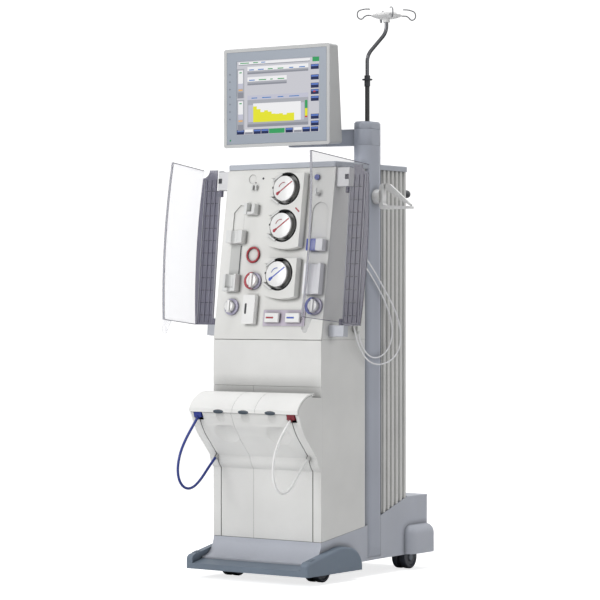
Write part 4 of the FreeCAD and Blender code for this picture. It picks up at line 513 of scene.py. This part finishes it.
def disc(bm, centre, radius, thick, bevel=0.0, segments=48, axis="Y"):
    """A round plate whose front is towards the user or to the side, with a rounded rim."""
    place = Matrix.Translation(centre) @ turned(90, "X" if axis == "Y" else "Y")
    corners = bmesh.ops.create_cone(bm, cap_ends=True, segments=segments, radius1=radius,
                                    radius2=radius, depth=thick, matrix=place)["verts"]
    if bevel:
        rims = [edge for edge in edges_of(corners) if edge.calc_face_angle(0) > 1]
        round_edges(bm, rims, bevel)


def ring(bm, centre, radius, wire):
    """A round wire bent into a ring that faces the user."""
    place = Matrix.Translation(Vector(centre) + Vector((radius, 0, 0)))
    section = bmesh.ops.create_circle(bm, segments=16, radius=wire, matrix=place)["verts"]
    bmesh.ops.spin(bm, geom=section + edges_of(section), cent=centre, axis=(0, 1, 0),
                   dvec=(0, 0, 0), angle=math.tau, steps=64, use_merge=True,
                   use_duplicate=False)


def detail(name, parts, place, finish, body, slot_name=None):
    """Build a detail from its parts, put it in its place and let it ride on its body."""
    bm = bmesh.new()
    for build, *measures in parts:
        build(bm, *measures)
    bmesh.ops.transform(bm, matrix=place, verts=bm.verts)
    bmesh.ops.recalc_face_normals(bm, faces=bm.faces)
    made = link_mesh(name, bm)
    made.data.materials.append(finishes[finish])
    made.data.shade_smooth()
    made.data.set_sharp_from_angle(angle=math.radians(35))
    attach(made, body)


print("builders ready")

# %% [markdown]
# Printed marks, clamp rings, the lines on the doors and the lit display need finishes of their
# own. The display shines with the colour it shows, behind a faint raster of rows.

# %% Finishes of marks, rings, door lines and the display
finishes.update({
    "mark_red": coated("red_print", (164, 30, 50), 0.5, 1200, 0.02),
    "mark_blue": coated("blue_print", (60, 90, 190), 0.5, 1200, 0.02),
    "mark_dark": coated("dark_marks_and_painted_shade", (46, 48, 54), 0.5, 900, 0.05),
    "mark_grey": coated("grey_print", (120, 126, 136), 0.5, 1200, 0.02),
    "catch": coated("catch_plastic", (56, 68, 80), 0.4, 900, 0.05),
    "mouth_dark": coated("mouth_plastic", (24, 25, 28), 0.5, 900, 0.02),
    "recess_shade": coated("painted_recess_shade", (196, 197, 195), 0.45, 900, 0.05),
    "strip_film": coated("strip_film", (200, 190, 206), 0.4, 900, 0.02),
    "block_blue": coated("detector_plastic", (22, 48, 150), 0.25, 900, 0.02, coat=0.3),
    "lavender": clear_sheet("lavender_ring", (172, 168, 192), 0.85, 0.25),
    "band_line_left": clear_sheet("left_band_line", (70, 68, 84), 0.9, 0.2),
    "band_line_right": clear_sheet("right_band_line", (30, 28, 38), 0.95, 0.2),
    "clear_rim": clear_sheet("clear_rim", (168, 168, 178), 0.8, 0.12),
    "pane_edge": clear_sheet("pane_edge", (104, 104, 120), 0.9, 0.12),
})
display_colours = {
    "field": (200, 200, 207), "panel": (168, 170, 178), "white": (238, 238, 240),
    "navy": (20, 34, 80), "row": (192, 193, 208), "blue": (60, 120, 190),
    "key": (92, 122, 196), "shade": (140, 142, 152), "green": (48, 156, 92),
    "yellow": (228, 226, 40), "orange": (232, 176, 104), "red": (200, 60, 50),
}


def lit(name, colour):
    """A field of the display in one colour."""
    material, tree, shader, place = new_surface(name)
    shader.inputs["Base Color"].default_value = (0.01, 0.01, 0.01, 1)
    shader.inputs["Roughness"].default_value = 0.5
    shader.inputs["Specular IOR Level"].default_value = 0.1
    rows = tree.nodes.new("ShaderNodeTexWave")
    rows.bands_direction = "Z"
    rows.inputs["Scale"].default_value = 300
    tree.links.new(place, rows.inputs["Vector"])
    shown = linear(colour)
    tones = ramp(tree, rows.outputs["Fac"], (0, tinted(shown, 0.94)), (1, shown))
    tree.links.new(tones, shader.inputs["Emission Color"])
    shader.inputs["Emission Strength"].default_value = 1
    return material


for tone, colour in display_colours.items():
    finishes[f"show_{tone}"] = lit(f"display_{tone}", colour)
print("finishes in all:", len(finishes))

# %% [markdown]
# The display shows a treatment screen of plain fields: a strip of chips on top, two gauges at
# the left, value bars, a chart and rows of soft keys. It carries no words or numbers.

# %% The display
screen_wide, screen_tall, screen_shift = 313, 235, 5.5
side_keys = [0.095, 0.235, 0.345, 0.43, 0.52, 0.76, 0.85]
foot_keys = [0.0, 0.205, 0.30, 0.595, 0.80, 0.90]
chart_tops = [0.62, 0.66, 0.70, 0.68, 0.70, 0.73, 0.735, 0.73, 0.75, 0.73, 0.73]
chart_left, chart_step, chart_foot = 0.20, 0.0455, 0.835


def fields(name, tone, level, areas):
    """Flat fields of the display; each is left, right, top and bottom as a share of it."""
    parts = []
    for left, right, top, bottom in areas:
        low = (screen_shift + (left - 0.5) * screen_wide, level, (0.5 - bottom) * screen_tall)
        high = (screen_shift + (right - 0.5) * screen_wide, level + 0.05,
                (0.5 - top) * screen_tall)
        parts.append((block, low, high))
    detail(f"display_{name}", parts, screen_place, f"show_{tone}", "monitor", "screen_glass")


fields("back", "field", 1.1, [(0, 1, 0, 1)])
fields("panels", "panel", 1.0,
       [(0.13, 0.87, 0.47, 0.90), (0, 0.09, 0.10, 0.50), (0, 0.09, 0.52, 0.95)])
fields("whites", "white", 0.9,
       [(0.02, 0.89, 0.01, 0.05), (0.13, 0.87, 0.08, 0.18), (0.13, 0.61, 0.22, 0.33),
        (0.20, 0.78, 0.58, 0.83), (0.015, 0.075, 0.12, 0.30), (0.015, 0.075, 0.54, 0.72),
        (0.10, 0.195, 0.93, 0.965), (0.70, 0.79, 0.93, 0.965)])
fields("greys", "panel", 0.85, [(0.13, 0.87, 0.135, 0.18), (0.13, 0.61, 0.28, 0.33)])
fields("rows", "row", 0.85,
       [(0.13, 0.87, 0.47, 0.53), (0.14, 0.20, 0.60, 0.83), (0.78, 0.82, 0.60, 0.83),
        (0.015, 0.075, 0.30, 0.37), (0.015, 0.075, 0.72, 0.79)])
fields("navies", "navy", 0.85,
       [(0.90, 0.995, top, top + 0.068) for top in side_keys]
       + [(left, left + 0.09, 0.93, 0.995) for left in foot_keys])
fields("key_tops", "key", 0.8,
       [(0.905, 0.99, top + 0.006, top + 0.028) for top in side_keys]
       + [(left + 0.005, left + 0.085, 0.936, 0.958) for left in foot_keys])
fields("shades", "shade", 0.8,
       [(0.13, 0.87, 0.157, 0.18), (0.13, 0.61, 0.307, 0.33), (0.02, 0.89, 0.045, 0.055),
        (0.01, 0.08, 0.42, 0.50), (0.01, 0.08, 0.86, 0.95), (0.13, 0.87, 0.86, 0.90),
        (0.10, 0.195, 0.965, 0.995), (0.70, 0.79, 0.965, 0.995)])
fields("blues", "blue", 0.75,
       [(0.15, 0.21, 0.115, 0.128), (0.26, 0.33, 0.115, 0.128), (0.64, 0.69, 0.115, 0.128),
        (0.76, 0.83, 0.115, 0.128), (0.15, 0.22, 0.255, 0.268), (0.30, 0.35, 0.02, 0.032),
        (0.18, 0.25, 0.50, 0.512), (0.31, 0.42, 0.50, 0.512), (0.50, 0.57, 0.50, 0.512),
        (0.64, 0.76, 0.50, 0.512)])
fields("greens", "green", 0.7,
       [(0.92, 1, 0, 0.06), (0.395, 0.585, 0.93, 0.995), (0.83, 0.86, 0.57, 0.68),
        (0.03, 0.06, 0.145, 0.16), (0.03, 0.06, 0.565, 0.58), (0.38, 0.44, 0.115, 0.128),
        (0.50, 0.57, 0.115, 0.128), (0.27, 0.36, 0.255, 0.268), (0.41, 0.44, 0.255, 0.268),
        (0.50, 0.58, 0.255, 0.268), (0.04, 0.15, 0.02, 0.032), (0.20, 0.26, 0.02, 0.032)])
fields("oranges", "orange", 0.7, [(0.02, 0.07, 0.38, 0.40), (0.02, 0.07, 0.80, 0.82)])
fields("reds", "red", 0.7, [(0.83, 0.86, 0.78, 0.80), (0.93, 0.955, 0.45, 0.47)])
bars = [(chart_left + chart_step * number, chart_left + chart_step * (number + 1), top,
         chart_foot) for number, top in enumerate(chart_tops)]
fields("chart", "yellow", 0.8, bars + [(0.83, 0.86, 0.68, 0.78)])
detail("bezel_icons", [(disc, (-178, -0.2, 78 - 24 * number), 2.4, 0.5) for number in range(7)],
       screen_place, "mark_grey", "monitor", "bezel_blue")
detail("power_lamp", [(disc, (-176, -0.4, -134), 2.6, 1, 0.3)], screen_place, "show_green",
       "monitor", "screen_glass")

# %% [markdown]
# Each pump rotor carries a white cap with a pointer and an arc printed on it, so that the user
# sees it turn. The cap is a disc with a rounded rim, a little wider than the rotor's own. Two
# guides and a pin stand on the housing where the line enters and leaves.

# %% Pump caps, pointers and guides
pump_side = 41
pump_heights = {"high": 472, "middle": 354.5, "low": 201}
pointer_turn = -36
line_guides = (("upper", -34, 33, -32), ("lower", -39, -35, 30))


def arc(bm, front, radius, wire, start, sweep):
    """A thin line bent round the axle of a cap, from its start over its sweep in degrees."""
    place = turned(start, "Y") @ Matrix.Translation((0, front, radius)) @ turned(90, "Y")
    section = bmesh.ops.create_circle(bm, segments=8, radius=wire, matrix=place)["verts"]
    bmesh.ops.spin(bm, geom=section + edges_of(section), cent=(0, front, 0), axis=(0, 1, 0),
                   dvec=(0, 0, 0), angle=math.radians(sweep), steps=12)


for which, up in pump_heights.items():
    body = f"rotor_{which}"
    pointed = face_place @ Matrix.Translation((pump_side, 0, up)) @ turned(pointer_turn, "Y")
    detail(f"rotor_cap_{which}", [(disc, (pump_side, -33.4, up), 39.8, 2.4, 1.0, 72)],
           face_place, "fitting_white", body, "fitting_white")
    detail(f"rotor_pointer_{which}",
           [(block, (-26, -34.85, -1.9), (37, -34.55, 1.9)),
            (disc, (-28, -34.7, 0), 5.4, 0.4, 0, 32),
            (block, (-25, -34.85, -3.6), (-18, -34.55, 3.6)),
            (arc, -34.6, 19, 1.1, -39, 85)],
           pointed, "mark_blue" if which == "low" else "mark_red", body)
    detail(f"pump_pin_{which}", [(disc, (pump_side - 46, -28.4, up + 4), 3.4, 1.2, 0.3)],
           face_place, "mouth_dark", "cabinet")
    for tag, across, rise, slant in line_guides:
        spot = (face_place @ Matrix.Translation((pump_side + across, 0, up + rise))
                @ turned(slant, "Y"))
        detail(f"pump_guide_{tag}_{which}",
               [(block, (-15, -32, -2.8), (24, -27.6, 2.8), 1.4)],
               spot, "fitting_grey", "cabinet")
detail("housing_arrow", [(block, (-10, -28.5, -2), (10, -28.1, 2))],
       face_place @ Matrix.Translation((96, 0, 404)) @ turned(40, "Y"), "mark_red", "cabinet")
print("pumps dressed:", len(pump_heights))

# %% [markdown]
# The line clamps are turned by hand: a pale knob with a grip bar stands on a smoked disc, and a
# coloured crescent, which is part of the solid, shows which line it closes. The line pads have a
# printed bar each, and a film lies on the strip below them. Dark inlays show the mouth of the
# card slot and two small dots; a grey sheet and a dark line beside the chamber's channel are
# painted shade of its recess and its deep edge.

# %% Clamp knobs, signal ring, pads and inlays
clamps = {"red": (-66, 184, 16), "level": (-146, 102, 13), "blue": (178, 104, 14)}
for name, (across, up, lobe) in clamps.items():
    grip = lobe + 6.6
    detail(f"clamp_ring_{name}", [(disc, (across, -3.5, up), 26.3, 6.4, 0.8)], face_place,
           "lavender", f"{name}_clamp")
    detail(f"clamp_knob_{name}",
           [(disc, (across, -13.2, up), lobe + 3.4, 14.6, 2.0),
            (block, (across - 5.6, -24.6, up - grip), (across + 5.6, -6.2, up + grip), 2.4)],
           face_place, "fitting_white", f"{name}_clamp", "fitting_white")
detail("signal_ring", [(ring, (-80, -2.8, 268), 23, 3.5)], face_place, "clamp_red", "cabinet",
       "clamp_red")
for name, across in (("red", -6), ("blue", 74)):
    detail(f"pad_mark_{name}",
           [(block, (across + 7, -14.8, 64), (across + 35, -14.2, 69), 0.2)],
           face_place, f"mark_{name}", f"{name}_pad")
detail("pad_strip_film", [(block, (-18, -2.3, 42), (142, -2.05, 92))], face_place,
       "strip_film", "cabinet")
# painted shade: a grey sheet where the chamber's channel lies in shade
detail("channel_shade", [(block, (-171, -0.35, 206), (-127, -0.1, 300))], face_place,
       "recess_shade", "cabinet")
detail("detector_block", [(block, (139.6, -25.5, 275.6), (175, -0.1, 312.4), 1.0)], face_place,
       "block_blue", "cabinet")
detail("face_dark_marks_and_shade",
       # painted shade: a dark line along the deep edge of the channel
       [(block, (-133.5, -0.6, 208), (-129.5, -0.3, 298)),
        (block, (-82.2, -18.9, 75), (-73.8, -18.3, 111)),
        (disc, (-68, -0.3, 513), 3.4, 0.8), (disc, (-96, -0.3, 500), 2.2, 0.8)],
       face_place, "mark_dark", "cabinet")
print("clamps dressed:", len(clamps))

# %% [markdown]
# The bands of the doors are ribbed both ways. The upright ribs are in the solids; the crossing
# lines and the clear rim beside the hinge are added here, on the inner side. A cut edge of clear
# acrylic looks dark, and that look is painted on: each pane gets a strip along its free edge,
# which follows the bow of the pane, and one along its top and its foot.

# %% Door bands and pane edges
door_turns = {"left": -84, "right": 90}
pane_widths = {"left": 188.1, "right": 305.1}
pane_bow, pane_middle, pane_crown = 2599.8, 293.5, -86.3
pane_foot, pane_height = 44, 499


def bowed_strip(bm, start, stop):
    """Upright strip from start to stop across, just outside the lip of a bowed pane."""
    steps, thick, rows = 24, 7.4, []
    for step in range(steps + 1):
        up = pane_foot + pane_height * step / steps
        front = pane_crown + pane_bow - math.sqrt(pane_bow ** 2 - (up - pane_middle) ** 2)
        rows.append([bm.verts.new((across, out, up)) for across, out in
                     ((start, front), (stop, front), (stop, front + thick),
                      (start, front + thick))])
    for low, high in zip(rows, rows[1:]):
        for corner in range(4):
            after = (corner + 1) % 4
            bm.faces.new((low[corner], low[after], high[after], high[corner]))
    bm.faces.new(rows[0])
    bm.faces.new(rows[-1])


def wall_block(bm, across, low, high, bevel=0.0):
    """A box from the door's wall to a distance across; low and high are outward and up."""
    block(bm, (min(0, across), *low), (max(0, across), *high), bevel)


for side, turn in door_turns.items():
    inward = 1 if side == "left" else -1
    free = inward * pane_widths[side]
    body = f"{side}_door"
    place = door_place(side, turn)
    detail(f"door_band_lines_{side}",
           [(wall_block, inward * 1.2, (-60, up), (-12, up + 2)) for up in range(74, 475, 40)],
           place, f"band_line_{side}", body, "band_smoke")
    detail(f"door_rim_{side}",
           [(wall_block, inward * 1.6, (-9, 48), (-4.4, 474), 0.4),
            (wall_block, inward * 1.6, (-66, 46), (-63, 512), 0.4)],
           place, "clear_rim", body, "pane_clear")
    # painted shade: the dark look of the cut acrylic edges
    detail(f"pane_edge_{side}",
           [(bowed_strip, free - inward * 1.2, free + inward * 0.2),
            (wall_block, free, (-74.2, 541.2), (-70.6, 543.2), 0.4),
            (wall_block, free, (-74.2, 43.8), (-70.6, 45.6), 0.4)],
           place, "pane_edge", body, "pane_clear")
    still = door_place(side, 0)
    detail(f"hinge_window_{side}", [(block, (-7, -10.8, 498), (7, -9.8, 514), 0.4)],
           still, "mark_dark", "cabinet")
    detail(f"hinge_cap_{side}", [(block, (-8, -9, 535), (8, 12, 538), 0.8)],
           still, "mark_grey", "cabinet")
print("doors dressed:", len(door_turns))

# %% [markdown]
# Dark finger catches sit in the lips of the hood flaps. They are short ovals, moulded apart
# and pressed in.

# %% Catches of the hood
catches = {"left": -94, "middle": 3, "right": 106}


def oval(bm, centre, half):
    """A smooth oval with its half sizes across, outward and up."""
    bmesh.ops.create_uvsphere(bm, u_segments=32, v_segments=16, radius=1)
    bmesh.ops.scale(bm, vec=half, verts=bm.verts)
    bmesh.ops.translate(bm, vec=centre, verts=bm.verts)


for side, across in catches.items():
    detail(f"hood_catch_{side}", [(oval, (across, -404.6, 528), (24, 2.6, 7))], upright,
           "catch", f"{side}_flap")
print("catches:", len(catches))

# %% [markdown]
# Hub caps on the casters and the screws of the rear cover finish the machine where few
# people look.

# %% Caster caps and rear details
for joint in joints:
    if joint["name"].startswith("roll_"):
        across, back, up = [c * 1000 for c in joint["pos_m"]]
        detail(f"hub_caps_{joint['name'].removeprefix('roll_')}",
               [(disc, (across + reach, back, up), 10.5, 1.4, 0.5, 48, "X")
                for reach in (-25.8, 25.8)],
               upright, "mark_grey", joint["child"])
detail("rear_screws",
       [(disc, (across, 201.6, up), 4, 2, 0.6, 24)
        for across in (-170, 0, 170) for up in (270, 640, 1000, 1262)],
       upright, "steel", "cabinet", "steel")
print("rear screws made")

# %% [markdown]
# The two hoses and the two thin lines hang in loops. Each is a smooth curve with its points at
# the corners of the route that the solid follows, and a round section given by the bevel.

# %% Hoses and lines
def smooth_curve(name, points):
    """A smooth curve along points given in millimetres."""
    curve = bpy.data.curves.new(name, "CURVE")
    curve.dimensions = "3D"
    spline = curve.splines.new("NURBS")
    spline.points.add(len(points) - 1)
    for spot, place in zip(spline.points, points):
        spot.co = (*[c / 1000 for c in place], 1)
    spline.order_u = 3
    spline.use_endpoint_u = True
    spline.resolution_u = 12
    return curve


def curve_length(name, points):
    """Length in metres of the smooth curve along the points."""
    bare = smooth_curve(name, points)
    probe = bpy.data.objects.new(name, bare)
    line = bpy.data.meshes.new_from_object(probe)
    length = sum((line.vertices[a].co - line.vertices[b].co).length
                 for a, b in (edge.vertices for edge in line.edges))
    bpy.data.objects.remove(probe)
    bpy.data.meshes.remove(line)
    bpy.data.curves.remove(bare)
    return length


def hose(name, points, diameter, slot_name):
    """A smooth hose along a route given in millimetres, whose real length is printed."""
    curve = smooth_curve(name, points)
    curve.bevel_depth = diameter / 2
    curve.bevel_resolution = 5
    curve.use_fill_caps = True
    curve.materials.append(finishes[slot_name])
    piece = bpy.data.objects.new(name, curve)
    bpy.context.scene.collection.objects.link(piece)
    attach(piece, "cabinet")
    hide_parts(name.replace("_skin", ""))
    length = curve_length(name + "_measure", points)
    print(name, "is", round(length, 3), "m long")


blue_route = [(-180, -400, 506), (-180, -430, 474), (-180, -462, 438), (-180, -488, 398),
              (-180, -500, 354), (-180, -494, 318), (-180, -473, 294), (-180, -443, 285),
              (-180, -410, 294), (-180, -376, 318), (-180, -344, 348), (-180, -310, 376)]
white_route = [(180, -402, 506), (180, -430, 478), (180, -459, 447), (180, -481, 409),
               (180, -491, 367), (180, -487, 326), (180, -466, 293), (180, -431, 284),
               (180, -398, 300), (180, -371, 328), (180, -343, 356), (180, -311, 384)]
outer_route = [(235, -100, 1026), (236, -70, 1001), (237, -26, 962), (238, 22, 911),
               (238, 70, 862), (238, 108, 808), (238, 121, 757), (238, 108, 712),
               (238, 70, 684), (237, 24, 671), (237, -24, 670), (236, -68, 684),
               (236, -104, 716), (235, -128, 754), (235, -138, 786)]
inner_route = [(223, -76, 994), (223, -44, 966), (224, -4, 928), (225, 40, 880),
               (225, 76, 828), (225, 92, 776), (225, 80, 732), (225, 46, 702),
               (224, 2, 689), (224, -44, 697), (223, -80, 728), (223, -98, 768)]
hose("blue_hose_skin", blue_route, 0.0085, "hose_blue")
hose("white_hose_skin", white_route, 0.0075, "hose_white")
hose("outer_line_skin", outer_route, 0.0048, "line_clear")
hose("inner_line_skin", inner_route, 0.0048, "line_clear")
